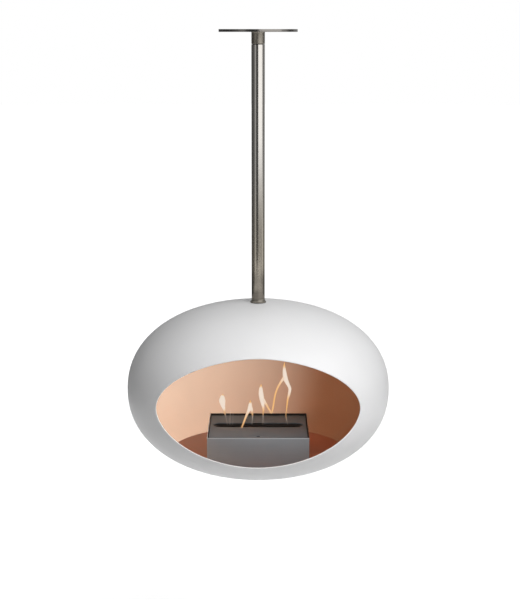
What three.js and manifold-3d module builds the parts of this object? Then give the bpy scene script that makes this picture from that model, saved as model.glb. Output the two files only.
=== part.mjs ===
// Hanging fireplace: a flattened ball with an oval mouth, hung on a pole from a round
// ceiling plate, with a slot burner on the floor of its copper-coloured firebox.
//
// Millimetres, +Z up, mouth towards -Y. The origin is the middle of the ceiling
// plate's upper face, so everything hangs below zero.

import * as THREE from 'three';
import { mergeVertices } from 'three/addons/utils/BufferGeometryUtils.js';
import Module from 'manifold-3d';

const wasm = await Module();
wasm.setup();

// ---------------------------------------------------------------- driving dimensions

// Ceiling plate and stub
const PLATE_DIAMETER = 175;
const PLATE_THICKNESS = 6;
const PLATE_EDGE_BREAK = 0.6;
const CEILING_SCREW_COUNT = 4;
const CEILING_SCREW_CIRCLE = 140;
const CEILING_SCREW_HOLE = 6.5;
const CEILING_SCREW_HEAD = 13;
const STUB_LENGTH = 26;
const STUB_WEB = 4; // solid metal between the stub's thread and the plate

// Pole
const POLE_DIAMETER = 30;
const POLE_WALL = 2;
const POLE_LENGTH = 570;
const COLLAR_HEIGHT = 9.3;
const COLLAR_FOOT_DIAMETER = 36;
const COLLAR_FOOT_HEIGHT = 2.2;
const COLLAR_FLARE_HEIGHT = 3.8;
const COLLAR_SPIGOT_LENGTH = 36;
const TURNED_EDGE = 0.5; // chamfer of the turned pieces
const GASKET_THICKNESS = 1;
const GASKET_STEP = 1; // how far the gasket lies inside the collar's foot
const SET_SCREW_DIAMETER = 5;
const SET_SCREW_KEY = 2.5;
const SET_SCREW_DEPTH = 2;
const SET_SCREW_SPREAD = 35; // degrees to each side of the pole's back

// Swivel
const SWIVEL_WASHER_THICKNESS = 1.2;
const SWIVEL_WASHER_STEP = 1; // how far the washer lies inside the pole's outline
const SWIVEL_THREAD_DIAMETER = 12;
const SWIVEL_SHOULDER_DIAMETER = 14;
const SWIVEL_HEAD_DIAMETER = 20;
const SWIVEL_HEAD_HEIGHT = 8;
const SWIVEL_KEY = 8;
const SWIVEL_KEY_DEPTH = 4;
const THREAD_RUNOUT = 2; // from a bolt's tip to the end of its blind hole
const BUSH_WALL = 1.8;
const BUSH_LENGTH = 12;
const THRUST_WASHER_THICKNESS = 2;
const PLUG_SKIRT_LENGTH = 22; // below the web that holds the bush

// Ball
const BALL_DIAMETER = 600;
const BALL_HEIGHT = 396;
const BALL_ROUNDNESS = 2.19; // exponent of the profile: 2 is an ellipse, more is squarer
const SHELL_WALL = 2;
const LINER_WALL = 1;
const MOUTH_WIDTH = 446;
const MOUTH_HEIGHT = 242;
const MOUTH_ROUNDNESS = 1.86; // exponent of the mouth's outline, seen from the front

// Bolted joint of pole and ball
const HANGER_DIAMETER = 16;
const HANGER_KEY = 24;
const HANGER_HEAD_HEIGHT = 10;
const HANGER_ENGAGEMENT = 30;
const HANGER_WASHER_DIAMETER = 30;
const HANGER_WASHER_THICKNESS = 3;
const SPREADER_DIAMETER = 56;
const SPREADER_THICKNESS = 4;
const APEX_FLAT_MARGIN = 4; // of the ball's flat top, beyond the spreader plate
const CAP_SIDE_ROOM = 5;
const CAP_HEAD_ROOM = 4;
const CAP_WALL = 1.2;
const CAP_SHOULDER = 0.45; // share of the cap's depth where its dome begins

// Firebox floor
const FLOOR_DROP = 150.4; // from the ball's middle to the floor's upper face
const FLOOR_THICKNESS = 2;
const FLOOR_SCREW_COUNT = 3;
const FLOOR_SCREW_INSET = 24; // from the floor's edge
const FLOOR_SCREW_DIAMETER = 5;
const FLOOR_SCREW_HEAD = 9;
const FLOOR_SCREW_HEAD_HEIGHT = 2.4;
const FLOOR_SCREW_POINT = 2; // past the bracket
const FLOOR_SCREW_EDGE = 0.8;
const FLOOR_SCREW_KEY = 2.5;
const FLOOR_SCREW_KEY_DEPTH = 1.6;
const BRACKET_WIDTH = 20;
const BRACKET_REACH = 34;
const BRACKET_THICKNESS = 3;

// Burner
const BURNER_WIDTH = 226.4;
const BURNER_DEPTH = 218;
const BURNER_HEIGHT = 74; // with its feet
const BURNER_CORNER_GAP = 6.2; // from its lower front corners to the liner
const CASING_WALL = 1.5;
const FOOT_DIAMETER = 18;
const FOOT_HEIGHT = 3;
const FOOT_PIN_DIAMETER = 6;
const FOOT_INSET = 26; // from the casing's outer faces to a foot's middle
const LID_RECESS = 4.2;
const LID_THICKNESS = 2;
const LID_EDGE_GAP = 1.6;
const SLOT_END_MARGIN = 10.7; // from the casing's side to the slot's end
const SLOT_WIDTH = 36;
const SLOT_SETBACK = 90; // from the back face to the slot's middle
const TOOL_HOLE_DIAMETER = 9;
const TOOL_HOLE_SETBACK = 28; // from the front face
const RAIL_SIZE = 8;

// Tank, damper and fibre
const TANK_SIDE_GAP = 1.2;
const TANK_DEPTH = 130;
const TANK_HEIGHT = 44;
const TANK_WALL = 1.2;
const TANK_SLOT_INSET = 5; // how far the tank's slot lies inside the lid's
const DAMPER_THICKNESS = 1.5;
const DAMPER_OVERLAP = 6; // beyond the tank's slot, on each side
const DAMPER_TAB_WIDTH = 26;
const DAMPER_TAB_HEIGHT = 2;
const GUIDE_WIDTH = 5;
const SCREEN_THICKNESS = 1;
const SCREEN_HOLE = 7;
const SCREEN_PITCH = 12;
const SCREEN_DROP = 6; // from the underside of the tank's top to the screen

// Clearances
const RUNNING_GAP = 0.2; // between pieces that turn or slide on each other
const FIT_GAP = 0.3; // between curved pieces that rest or screw together
const OVERCUT = 1; // how far a cutting solid runs past the face that it opens

// Facets of the round pieces
const BALL_SIDES = 48;
const BALL_RINGS = 8;
const MOUTH_POINTS = 60;
const PLATE_SIDES = 48;
const ROUND_SIDES = 24;
const SCREW_SIDES = 12;
const FLARE_STEPS = 4;
const DOME_STEPS = 4;
const SLOT_END_STEPS = 8;

// ---------------------------------------------------------------- places

const poleRadius = POLE_DIAMETER / 2;
const boreRadius = poleRadius - POLE_WALL;
const spigotRadius = boreRadius - RUNNING_GAP;

const plateUnder = -PLATE_THICKNESS;
const stubEnd = plateUnder - STUB_LENGTH;
const stubBoreTop = plateUnder - STUB_WEB;
const poleTop = stubEnd - SWIVEL_WASHER_THICKNESS - RUNNING_GAP;
const poleEnd = poleTop - POLE_LENGTH;
const collarFoot = poleEnd - COLLAR_HEIGHT;
const ballTop = collarFoot - GASKET_THICKNESS;
const ballMiddle = ballTop - BALL_HEIGHT / 2;

const webUnder = poleTop - BUSH_LENGTH;
const thrustUnder = webUnder - THRUST_WASHER_THICKNESS;
const swivelHeadTop = thrustUnder - RUNNING_GAP;

// Above the middle of the ball
const apexFlatRadius = SPREADER_DIAMETER / 2 + APEX_FLAT_MARGIN;
const linerFlat = BALL_HEIGHT / 2 - SHELL_WALL - FIT_GAP - LINER_WALL;
const spreaderUnder = linerFlat - SPREADER_THICKNESS;
const hangerHeadTop = spreaderUnder - HANGER_WASHER_THICKNESS;
const floorTop = -FLOOR_DROP;
const floorUnder = floorTop - FLOOR_THICKNESS;

// Above the firebox floor, in the burner's own frame
const lidTop = BURNER_HEIGHT - LID_RECESS;
const lidUnder = lidTop - LID_THICKNESS;
const damperTop = lidUnder - RUNNING_GAP;
const tankTop = damperTop - DAMPER_THICKNESS - RUNNING_GAP;
const tankUnder = tankTop - TANK_HEIGHT;
const tankRoof = tankTop - TANK_WALL;
const tankFloor = tankUnder + TANK_WALL;
const casingFloor = FOOT_HEIGHT + CASING_WALL;
const slotY = BURNER_DEPTH / 2 - SLOT_SETBACK;
const slotLength = BURNER_WIDTH - 2 * SLOT_END_MARGIN;
const toolHoleY = TOOL_HOLE_SETBACK - BURNER_DEPTH / 2;
const tankSlotLength = slotLength - 2 * TANK_SLOT_INSET;
const tankSlotWidth = SLOT_WIDTH - 2 * TANK_SLOT_INSET;
const innerWidth = BURNER_WIDTH - 2 * CASING_WALL;
const innerDepth = BURNER_DEPTH - 2 * CASING_WALL;
const tankWidth = innerWidth - 2 * TANK_SIDE_GAP;
const damperLength = tankSlotLength + 2 * DAMPER_OVERLAP;
const damperWidth = tankSlotWidth + 2 * DAMPER_OVERLAP;
const damperFront = slotY + SLOT_WIDTH / 2 - DAMPER_THICKNESS - RUNNING_GAP;

// ---------------------------------------------------------------- finishes

const finishes = {
  whitePaint: { color: 0xf1f0ee, roughness: 0.45, metalness: 0 },
  copperCoat: { color: 0xc98d63, roughness: 0.35, metalness: 0.55 },
  brushedSteel: { color: 0x9a938a, roughness: 0.28, metalness: 0.9 },
  turnedSteel: { color: 0x857f76, roughness: 0.5, metalness: 0.8 },
  greySteel: { color: 0x747576, roughness: 0.5, metalness: 0.35 },
  darkSteel: { color: 0x3a3a3b, roughness: 0.55, metalness: 0.6 },
  zincSteel: { color: 0xb4b6b8, roughness: 0.4, metalness: 0.85 },
  bronze: { color: 0xa77b3c, roughness: 0.4, metalness: 0.9 },
  darkPolymer: { color: 0x1e1d1c, roughness: 0.6, metalness: 0 },
  fibre: { color: 0xe8e4da, roughness: 0.95, metalness: 0 },
};

// ---------------------------------------------------------------- geometry helpers

// A closed geometry as a solid that can be joined and cut.
function solidOf(geometry) {
  const bare = new THREE.BufferGeometry();
  bare.setAttribute('position', geometry.attributes.position.clone());
  if (geometry.index) bare.setIndex(geometry.index.clone());
  const merged = mergeVertices(bare, 1e-4);
  const corners = merged.index.array;
  const triangles = [];
  for (let i = 0; i < corners.length; i += 3) {
    const [a, b, c] = [corners[i], corners[i + 1], corners[i + 2]];
    if (a !== b && b !== c && c !== a) triangles.push(a, b, c);
  }
  return new wasm.Manifold(new wasm.Mesh({
    numProp: 3,
    vertProperties: new Float32Array(merged.attributes.position.array),
    triVerts: new Uint32Array(triangles),
  }));
}

function geometryOf(solid) {
  const mesh = solid.getMesh();
  const geometry = new THREE.BufferGeometry();
  geometry.setAttribute('position', new THREE.BufferAttribute(mesh.vertProperties, 3));
  geometry.setIndex(new THREE.BufferAttribute(mesh.triVerts, 1));
  geometry.computeVertexNormals();
  return geometry;
}

function cut(geometry, ...tools) {
  const result = tools.reduce((solid, tool) => solid.subtract(solidOf(tool)), solidOf(geometry));
  return geometryOf(result);
}

function join(geometry, ...others) {
  const result = others.reduce((solid, other) => solid.add(solidOf(other)), solidOf(geometry));
  return geometryOf(result);
}

// A solid of revolution about Z. The profile's points are [radius, height], with the
// material on the left as the points run.
function turned(profile, sides = ROUND_SIDES) {
  const points = profile.map(([radius, height]) => new THREE.Vector2(radius, height));
  return new THREE.LatheGeometry(points, sides).rotateX(Math.PI / 2);
}

// The same for a profile that stays off the axis, and so closes on itself.
function turnedRing(profile, sides = ROUND_SIDES) {
  return turned([...profile, profile[0]], sides);
}

function rod(radius, low, high, sides = ROUND_SIDES) {
  return turned([[0, low], [radius, low], [radius, high], [0, high]], sides);
}

function sleeve(inner, outer, low, high, sides = ROUND_SIDES) {
  return turnedRing([[inner, low], [outer, low], [outer, high], [inner, high]], sides);
}

// A hexagonal prism with the given width across its flats.
function hexagon(acrossFlats, low, high) {
  return rod(acrossFlats / 2 / Math.cos(Math.PI / 6), low, high, 6);
}

function block(width, depth, low, high) {
  const geometry = new THREE.BoxGeometry(width, depth, high - low);
  return geometry.translate(0, 0, (low + high) / 2);
}

// A slot with round ends, along X, from one height to another.
function slotPrism(length, width, low, high) {
  const radius = width / 2;
  const reach = length / 2 - radius;
  const outline = new THREE.Shape();
  outline.moveTo(-reach, -radius);
  outline.lineTo(reach, -radius);
  outline.absarc(reach, 0, radius, -Math.PI / 2, Math.PI / 2);
  outline.lineTo(-reach, radius);
  outline.absarc(-reach, 0, radius, Math.PI / 2, Math.PI * 1.5);
  const prism = new THREE.ExtrudeGeometry(outline, {
    depth: high - low,
    bevelEnabled: false,
    curveSegments: SLOT_END_STEPS,
  });
  return prism.translate(0, 0, low);
}

const radians = THREE.MathUtils.degToRad;

// ---------------------------------------------------------------- ceiling and swivel

function ceilingPlate() {
  const radius = PLATE_DIAMETER / 2;
  const rim = radius - PLATE_EDGE_BREAK;
  const disc = turned([
    [0, plateUnder],
    [rim, plateUnder],
    [radius, plateUnder + PLATE_EDGE_BREAK],
    [radius, -PLATE_EDGE_BREAK],
    [rim, 0],
    [0, 0],
  ], PLATE_SIDES);
  const hole = CEILING_SCREW_HOLE / 2;
  const head = CEILING_SCREW_HEAD / 2;
  const holes = [];
  for (let i = 0; i < CEILING_SCREW_COUNT; i += 1) {
    const angle = (2 * Math.PI * (i + 0.5)) / CEILING_SCREW_COUNT;
    const countersink = turned([
      [0, plateUnder - OVERCUT],
      [head, plateUnder - OVERCUT],
      [head, plateUnder],
      [hole, plateUnder + head - hole],
      [hole, OVERCUT],
      [0, OVERCUT],
    ], SCREW_SIDES);
    const reach = CEILING_SCREW_CIRCLE / 2;
    holes.push(countersink.translate(reach * Math.cos(angle), reach * Math.sin(angle), 0));
  }
  return cut(disc, ...holes);
}

function ceilingStub() {
  const thread = SWIVEL_THREAD_DIAMETER / 2 + FIT_GAP;
  return turned([
    [0, stubBoreTop],
    [thread, stubBoreTop],
    [thread, stubEnd],
    [poleRadius - TURNED_EDGE, stubEnd],
    [poleRadius, stubEnd + TURNED_EDGE],
    [poleRadius, plateUnder],
    [0, plateUnder],
  ]);
}

function swivelWasher() {
  const inner = SWIVEL_SHOULDER_DIAMETER / 2 + RUNNING_GAP;
  const outer = poleRadius - SWIVEL_WASHER_STEP;
  return sleeve(inner, outer, stubEnd - SWIVEL_WASHER_THICKNESS, stubEnd);
}

// Hangs head down: thread in the stub, shoulder through the bush, head under the plug.
function swivelBolt() {
  const thread = SWIVEL_THREAD_DIAMETER / 2;
  const shoulder = SWIVEL_SHOULDER_DIAMETER / 2;
  const head = SWIVEL_HEAD_DIAMETER / 2;
  const headUnder = swivelHeadTop - SWIVEL_HEAD_HEIGHT;
  const body = turned([
    [0, headUnder],
    [head, headUnder],
    [head, swivelHeadTop],
    [shoulder, swivelHeadTop],
    [shoulder, stubEnd],
    [thread, stubEnd],
    [thread, stubBoreTop - THREAD_RUNOUT],
    [0, stubBoreTop - THREAD_RUNOUT],
  ]);
  const socket = hexagon(SWIVEL_KEY, headUnder - OVERCUT, headUnder + SWIVEL_KEY_DEPTH);
  return cut(body, socket);
}

function swivelBush() {
  const inner = SWIVEL_SHOULDER_DIAMETER / 2 + RUNNING_GAP;
  return sleeve(inner, inner + BUSH_WALL, webUnder, poleTop);
}

function thrustWasher() {
  const inner = SWIVEL_SHOULDER_DIAMETER / 2 + RUNNING_GAP;
  return sleeve(inner, SWIVEL_HEAD_DIAMETER / 2, thrustUnder, webUnder);
}

function poleTopPlug() {
  const web = SWIVEL_SHOULDER_DIAMETER / 2 + RUNNING_GAP + BUSH_WALL + FIT_GAP;
  const skirt = SWIVEL_HEAD_DIAMETER / 2 + FIT_GAP;
  const end = webUnder - PLUG_SKIRT_LENGTH;
  const plug = turnedRing([
    [skirt, end],
    [spigotRadius, end],
    [spigotRadius, poleTop],
    [web, poleTop],
    [web, webUnder],
    [skirt, webUnder],
  ]);
  return cut(plug, ...setScrewAngles.map((angle) => setScrewHole(angle, plugScrewHeight)));
}

// ---------------------------------------------------------------- pole

const setScrewAngles = [90 - SET_SCREW_SPREAD, 90 + SET_SCREW_SPREAD];
const setScrewReach = poleRadius - FIT_GAP; // outer end, just inside the pole's surface
const plugScrewHeight = poleTop - BUSH_LENGTH / 2;
const spigotScrewHeight = poleEnd + COLLAR_SPIGOT_LENGTH / 2;

// Turns a solid that lies along Z so that it points outwards from the axis.
function aimed(geometry, angle, height) {
  return geometry.rotateY(Math.PI / 2).rotateZ(radians(angle)).translate(0, 0, height);
}

function setScrewHole(angle, height) {
  const inner = spigotRadius - SET_SCREW_DEPTH - FIT_GAP;
  const radius = SET_SCREW_DIAMETER / 2 + FIT_GAP;
  const hole = rod(radius, inner, poleRadius + OVERCUT, SCREW_SIDES);
  return aimed(hole, angle, height);
}

function setScrew(angle, height) {
  const inner = spigotRadius - SET_SCREW_DEPTH;
  const body = rod(SET_SCREW_DIAMETER / 2, inner, setScrewReach, SCREW_SIDES);
  const socket = hexagon(SET_SCREW_KEY, setScrewReach - SET_SCREW_DEPTH, setScrewReach + OVERCUT);
  return aimed(cut(body, socket), angle, height);
}

function poleTube() {
  const tube = sleeve(boreRadius, poleRadius, poleEnd, poleTop);
  const holes = [plugScrewHeight, spigotScrewHeight].flatMap(
    (height) => setScrewAngles.map((angle) => setScrewHole(angle, height)),
  );
  return cut(tube, ...holes);
}

function poleCollar() {
  const bore = HANGER_DIAMETER / 2 + FIT_GAP;
  const foot = COLLAR_FOOT_DIAMETER / 2;
  const flareTop = collarFoot + COLLAR_FOOT_HEIGHT + COLLAR_FLARE_HEIGHT;
  const flare = [];
  for (let i = 0; i <= FLARE_STEPS; i += 1) {
    const turn = (Math.PI / 2) * (i / FLARE_STEPS);
    const radius = poleRadius + (foot - poleRadius) * (1 - Math.sin(turn));
    flare.push([radius, flareTop - COLLAR_FLARE_HEIGHT * Math.cos(turn)]);
  }
  const body = turnedRing([
    [bore, collarFoot],
    [foot - TURNED_EDGE, collarFoot],
    [foot, collarFoot + TURNED_EDGE],
    ...flare,
    [poleRadius, poleEnd],
    [spigotRadius, poleEnd],
    [spigotRadius, poleEnd + COLLAR_SPIGOT_LENGTH],
    [bore, poleEnd + COLLAR_SPIGOT_LENGTH],
  ]);
  return cut(body, ...setScrewAngles.map((angle) => setScrewHole(angle, spigotScrewHeight)));
}

function collarGasket() {
  const inner = HANGER_DIAMETER / 2 + FIT_GAP;
  return sleeve(inner, COLLAR_FOOT_DIAMETER / 2 - GASKET_STEP, ballTop, collarFoot);
}

// ---------------------------------------------------------------- ball

// The ball's outline between its equator and the flat at its apex, set in from the
// outer face by the given depth: [radius, height] from the equator upwards.
function ballProfile(depth) {
  const n = BALL_ROUNDNESS;
  const a = BALL_DIAMETER / 2;
  const flatShare = apexFlatRadius / a;
  const c = BALL_HEIGHT / 2 / (1 - flatShare ** n) ** (1 / n);
  const lastTurn = Math.acos(flatShare ** (n / 2));
  const points = [];
  for (let i = 0; i <= BALL_RINGS; i += 1) {
    const turn = (lastTurn * i) / BALL_RINGS;
    const radius = a * Math.cos(turn) ** (2 / n);
    const height = c * Math.sin(turn) ** (2 / n);
    const slopeR = (radius / a) ** (n - 1) / a;
    const slopeZ = (height / c) ** (n - 1) / c;
    const slope = Math.hypot(slopeR, slopeZ);
    points.push([radius - (depth * slopeR) / slope, height - (depth * slopeZ) / slope]);
  }
  points[BALL_RINGS][1] = BALL_HEIGHT / 2 - depth;
  return points;
}

// Radius of a profile at a height, along its straight stretches.
function radiusAt(profile, height) {
  const above = profile.findIndex(([, z]) => z > Math.abs(height));
  const [r0, z0] = profile[above - 1];
  const [r1, z1] = profile[above];
  return r0 + ((r1 - r0) * (Math.abs(height) - z0)) / (z1 - z0);
}

// The prism that cuts the mouth: its outline seen from the front, run through the wall.
function mouthPrism() {
  const points = [];
  for (let i = 0; i < MOUTH_POINTS; i += 1) {
    const turn = (2 * Math.PI * i) / MOUTH_POINTS;
    const [c, s] = [Math.cos(turn), Math.sin(turn)];
    const power = 2 / MOUTH_ROUNDNESS;
    points.push(new THREE.Vector2(
      (MOUTH_WIDTH / 2) * Math.sign(c) * Math.abs(c) ** power,
      (MOUTH_HEIGHT / 2) * Math.sign(s) * Math.abs(s) ** power,
    ));
  }
  const back = BALL_DIAMETER / 4;
  const depth = BALL_DIAMETER / 2 - back + OVERCUT;
  const prism = new THREE.ExtrudeGeometry(new THREE.Shape(points), { depth, bevelEnabled: false });
  return prism.rotateX(Math.PI / 2).translate(0, -back, 0);
}

// One half of a spun skin. side is 1 for the upper half, which has the hanger's hole,
// and -1 for the lower half.
function skinHalf(depth, wall, side) {
  const outer = ballProfile(depth);
  const inner = ballProfile(depth + wall);
  const middle = side > 0 ? HANGER_DIAMETER / 2 + FIT_GAP : 0;
  const outerEnd = [middle, outer[BALL_RINGS][1]];
  const innerEnd = [middle, inner[BALL_RINGS][1]];
  const upwards = [...outer, outerEnd, innerEnd, ...inner.reverse()];
  const loop = upwards.map(([radius, height]) => [radius, side * height]);
  if (side < 0) loop.reverse();
  if (middle > 0) return cut(turnedRing(loop, BALL_SIDES), mouthPrism());
  const start = loop.findIndex(([radius]) => radius === 0);
  const open = [...loop.slice(start + 1), ...loop.slice(0, start + 1)];
  return cut(turned(open, BALL_SIDES), mouthPrism());
}

const linerDepth = SHELL_WALL + FIT_GAP;

// ---------------------------------------------------------------- hanger

function spreaderPlate() {
  const hole = HANGER_DIAMETER / 2 + FIT_GAP;
  return sleeve(hole, SPREADER_DIAMETER / 2, spreaderUnder, linerFlat);
}

function hangerWasher() {
  const hole = HANGER_DIAMETER / 2 + FIT_GAP;
  return sleeve(hole, HANGER_WASHER_DIAMETER / 2, hangerHeadTop, spreaderUnder);
}

function hangerBolt() {
  const tip = BALL_HEIGHT / 2 + GASKET_THICKNESS + HANGER_ENGAGEMENT;
  const shank = rod(HANGER_DIAMETER / 2, hangerHeadTop - HANGER_HEAD_HEIGHT / 2, tip);
  return join(hexagon(HANGER_KEY, hangerHeadTop - HANGER_HEAD_HEIGHT, hangerHeadTop), shank);
}

// A domed cover over the bolt's head, its rim against the spreader plate.
function hangerCap() {
  const innerRadius = HANGER_WASHER_DIAMETER / 2 + CAP_SIDE_ROOM;
  const innerDepth = HANGER_WASHER_THICKNESS + HANGER_HEAD_HEIGHT + CAP_HEAD_ROOM;
  const face = (radius, depth) => {
    const points = [];
    for (let i = 0; i <= DOME_STEPS; i += 1) {
      const turn = (Math.PI / 2) * (i / DOME_STEPS);
      const drop = depth * (CAP_SHOULDER + (1 - CAP_SHOULDER) * Math.cos(turn));
      points.push([radius * Math.sin(turn), spreaderUnder - drop]);
    }
    points.push([radius, spreaderUnder]);
    return points;
  };
  const outside = face(innerRadius + CAP_WALL, innerDepth + CAP_WALL);
  const inside = face(innerRadius, innerDepth);
  return turned([...outside, ...inside.reverse()]);
}

// ---------------------------------------------------------------- firebox floor

const linerFace = ballProfile(linerDepth + LINER_WALL);
const floorRadius = radiusAt(linerFace, floorTop) - FIT_GAP;
const floorLowRadius = radiusAt(linerFace, floorUnder) - FIT_GAP;
const floorScrewReach = floorRadius - FLOOR_SCREW_INSET;

// One at the back and two at the front corners, behind the mouth's lower lip.
const floorScrewAngles = Array.from(
  { length: FLOOR_SCREW_COUNT },
  (_, i) => 90 + (360 * i) / FLOOR_SCREW_COUNT,
);

function floorScrewHole(low, high) {
  const radius = FLOOR_SCREW_DIAMETER / 2 + FIT_GAP;
  return rod(radius, low - OVERCUT, high + OVERCUT, SCREW_SIDES);
}

function floorPlate() {
  const disc = turned([
    [0, floorUnder],
    [floorLowRadius, floorUnder],
    [floorRadius, floorTop],
    [0, floorTop],
  ], BALL_SIDES);
  const holes = floorScrewAngles.map((angle) => {
    const hole = floorScrewHole(floorUnder, floorTop);
    return hole.translate(floorScrewReach, 0, 0).rotateZ(radians(angle));
  });
  return cut(disc, ...holes);
}

// A threaded tab welded to the liner, under the floor plate.
function floorBracket(angle) {
  const low = floorUnder - BRACKET_THICKNESS;
  const wall = radiusAt(linerFace, low) * Math.cos(Math.PI / BALL_SIDES) - FIT_GAP;
  const outer = Math.sqrt(wall ** 2 - (BRACKET_WIDTH / 2) ** 2);
  const tab = block(BRACKET_REACH, BRACKET_WIDTH, low, floorUnder);
  const drilled = cut(
    tab.translate(outer - BRACKET_REACH / 2, 0, 0),
    floorScrewHole(low, floorUnder).translate(floorScrewReach, 0, 0),
  );
  return drilled.rotateZ(radians(angle));
}

function floorScrew(angle) {
  const shank = FLOOR_SCREW_DIAMETER / 2;
  const head = FLOOR_SCREW_HEAD / 2;
  const tip = floorUnder - BRACKET_THICKNESS - FLOOR_SCREW_POINT;
  const headTop = floorTop + FLOOR_SCREW_HEAD_HEIGHT;
  const body = turned([
    [0, tip],
    [shank, tip],
    [shank, floorTop],
    [head, floorTop],
    [head, headTop - FLOOR_SCREW_EDGE],
    [head - FLOOR_SCREW_EDGE, headTop],
    [0, headTop],
  ], SCREW_SIDES);
  const socket = hexagon(FLOOR_SCREW_KEY, headTop - FLOOR_SCREW_KEY_DEPTH, headTop + OVERCUT);
  return cut(body, socket).translate(floorScrewReach, 0, 0).rotateZ(radians(angle));
}

// ---------------------------------------------------------------- burner

const footX = BURNER_WIDTH / 2 - FOOT_INSET;
const footY = BURNER_DEPTH / 2 - FOOT_INSET;
const footPlaces = [[-footX, -footY], [footX, -footY], [-footX, footY], [footX, footY]];

// The burner stands as far forwards as the liner lets its lower front corners go.
const cornerReach = radiusAt(linerFace, floorTop + FOOT_HEIGHT) - BURNER_CORNER_GAP;
const burnerFront = Math.sqrt(cornerReach ** 2 - (BURNER_WIDTH / 2) ** 2);

function burnerCasing() {
  const box = block(BURNER_WIDTH, BURNER_DEPTH, FOOT_HEIGHT, BURNER_HEIGHT);
  const hollow = block(innerWidth, innerDepth, casingFloor, BURNER_HEIGHT + OVERCUT);
  const holes = footPlaces.map(([x, y]) => {
    const radius = FOOT_PIN_DIAMETER / 2 + FIT_GAP;
    const hole = rod(radius, FOOT_HEIGHT - OVERCUT, casingFloor + OVERCUT, SCREW_SIDES);
    return hole.translate(x, y, 0);
  });
  return cut(box, hollow, ...holes);
}

// A pad with a pin that presses into the casing's floor.
function burnerFoot([x, y]) {
  const foot = turned([
    [0, 0],
    [FOOT_DIAMETER / 2, 0],
    [FOOT_DIAMETER / 2, FOOT_HEIGHT],
    [FOOT_PIN_DIAMETER / 2, FOOT_HEIGHT],
    [FOOT_PIN_DIAMETER / 2, casingFloor],
    [0, casingFloor],
  ], SCREW_SIDES);
  return foot.translate(x, y, 0);
}

function burnerLid() {
  const plate = block(
    innerWidth - 2 * LID_EDGE_GAP,
    innerDepth - 2 * LID_EDGE_GAP,
    lidUnder,
    lidTop,
  );
  const [low, high] = [lidUnder - OVERCUT, lidTop + OVERCUT];
  const slot = slotPrism(slotLength, SLOT_WIDTH, low, high);
  const toolHole = rod(TOOL_HOLE_DIAMETER / 2, low, high, SCREW_SIDES);
  return cut(plate, slot.translate(0, slotY, 0), toolHole.translate(0, toolHoleY, 0));
}

// Ledge along the front or back wall: side is -1 for the front, 1 for the back.
function lidRail(side) {
  const rail = block(innerWidth - 2 * LID_EDGE_GAP, RAIL_SIZE, lidUnder - RAIL_SIZE, lidUnder);
  return rail.translate(0, side * (innerDepth / 2 - RAIL_SIZE / 2), 0);
}

function fuelTank() {
  const box = block(tankWidth, TANK_DEPTH, tankUnder, tankTop);
  const hollow = block(
    tankWidth - 2 * TANK_WALL,
    TANK_DEPTH - 2 * TANK_WALL,
    tankFloor,
    tankRoof,
  );
  const slot = slotPrism(tankSlotLength, tankSlotWidth, tankRoof - OVERCUT, tankTop + OVERCUT);
  return cut(box, hollow, slot).translate(0, slotY, 0);
}

// Cross bar between the casing's floor and the tank: side as for the lid's rails.
function tankBearer(side) {
  const bar = block(tankWidth, RAIL_SIZE, casingFloor, tankUnder);
  return bar.translate(0, slotY + side * (TANK_DEPTH / 2 - RAIL_SIZE), 0);
}

const screenTop = tankRoof - SCREEN_DROP;
const screenUnder = screenTop - SCREEN_THICKNESS;
const chamberWidth = tankWidth - 2 * TANK_WALL - 2 * FIT_GAP;
const chamberDepth = TANK_DEPTH - 2 * TANK_WALL - 2 * FIT_GAP;

function fibreBlock() {
  return block(chamberWidth, chamberDepth, tankFloor, screenUnder).translate(0, slotY, 0);
}

// Sheet with square holes under the tank's slot.
function wickScreen() {
  const sheet = block(chamberWidth, chamberDepth, screenUnder, screenTop);
  const columns = Math.floor((tankSlotLength - SCREEN_PITCH) / SCREEN_PITCH);
  const rows = Math.floor(tankSlotWidth / SCREEN_PITCH);
  const holes = [];
  for (let i = 0; i < columns; i += 1) {
    for (let j = 0; j < rows; j += 1) {
      const hole = block(SCREEN_HOLE, SCREEN_HOLE, screenUnder - OVERCUT, screenTop + OVERCUT);
      const x = (i - (columns - 1) / 2) * SCREEN_PITCH;
      const y = (j - (rows - 1) / 2) * SCREEN_PITCH;
      holes.push(hole.translate(x, y, 0));
    }
  }
  return cut(sheet, ...holes).translate(0, slotY, 0);
}

// Rests open, behind the tank's slot, its tab against the back edge of the lid's slot.
function damperPlate() {
  const plate = block(damperLength, damperWidth, damperTop - DAMPER_THICKNESS, damperTop);
  const tabTop = damperTop + DAMPER_TAB_HEIGHT;
  const tab = block(DAMPER_TAB_WIDTH, DAMPER_THICKNESS, damperTop - DAMPER_THICKNESS, tabTop);
  const tabY = -damperWidth / 2 + DAMPER_THICKNESS / 2;
  return join(plate, tab.translate(0, tabY, 0)).translate(0, damperFront + damperWidth / 2, 0);
}

// Strip on the tank beside the damper: side is -1 for the left, 1 for the right.
function damperGuide(side) {
  const strip = block(GUIDE_WIDTH, TANK_DEPTH, tankTop, damperTop - RUNNING_GAP);
  const x = damperLength / 2 + RUNNING_GAP + GUIDE_WIDTH / 2;
  return strip.translate(side * x, slotY, 0);
}

// ---------------------------------------------------------------- assembly

const fireplace = new THREE.Group();
const ball = new THREE.Group();
const burner = new THREE.Group();
ball.position.z = ballMiddle;
burner.position.set(0, BURNER_DEPTH / 2 - burnerFront, floorTop);
fireplace.add(ball);
ball.add(burner);

function add(group, name, geometry, finish) {
  const mesh = new THREE.Mesh(
    geometry,
    new THREE.MeshStandardMaterial({ ...finishes[finish], flatShading: true }),
  );
  mesh.name = name;
  group.add(mesh);
}

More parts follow.
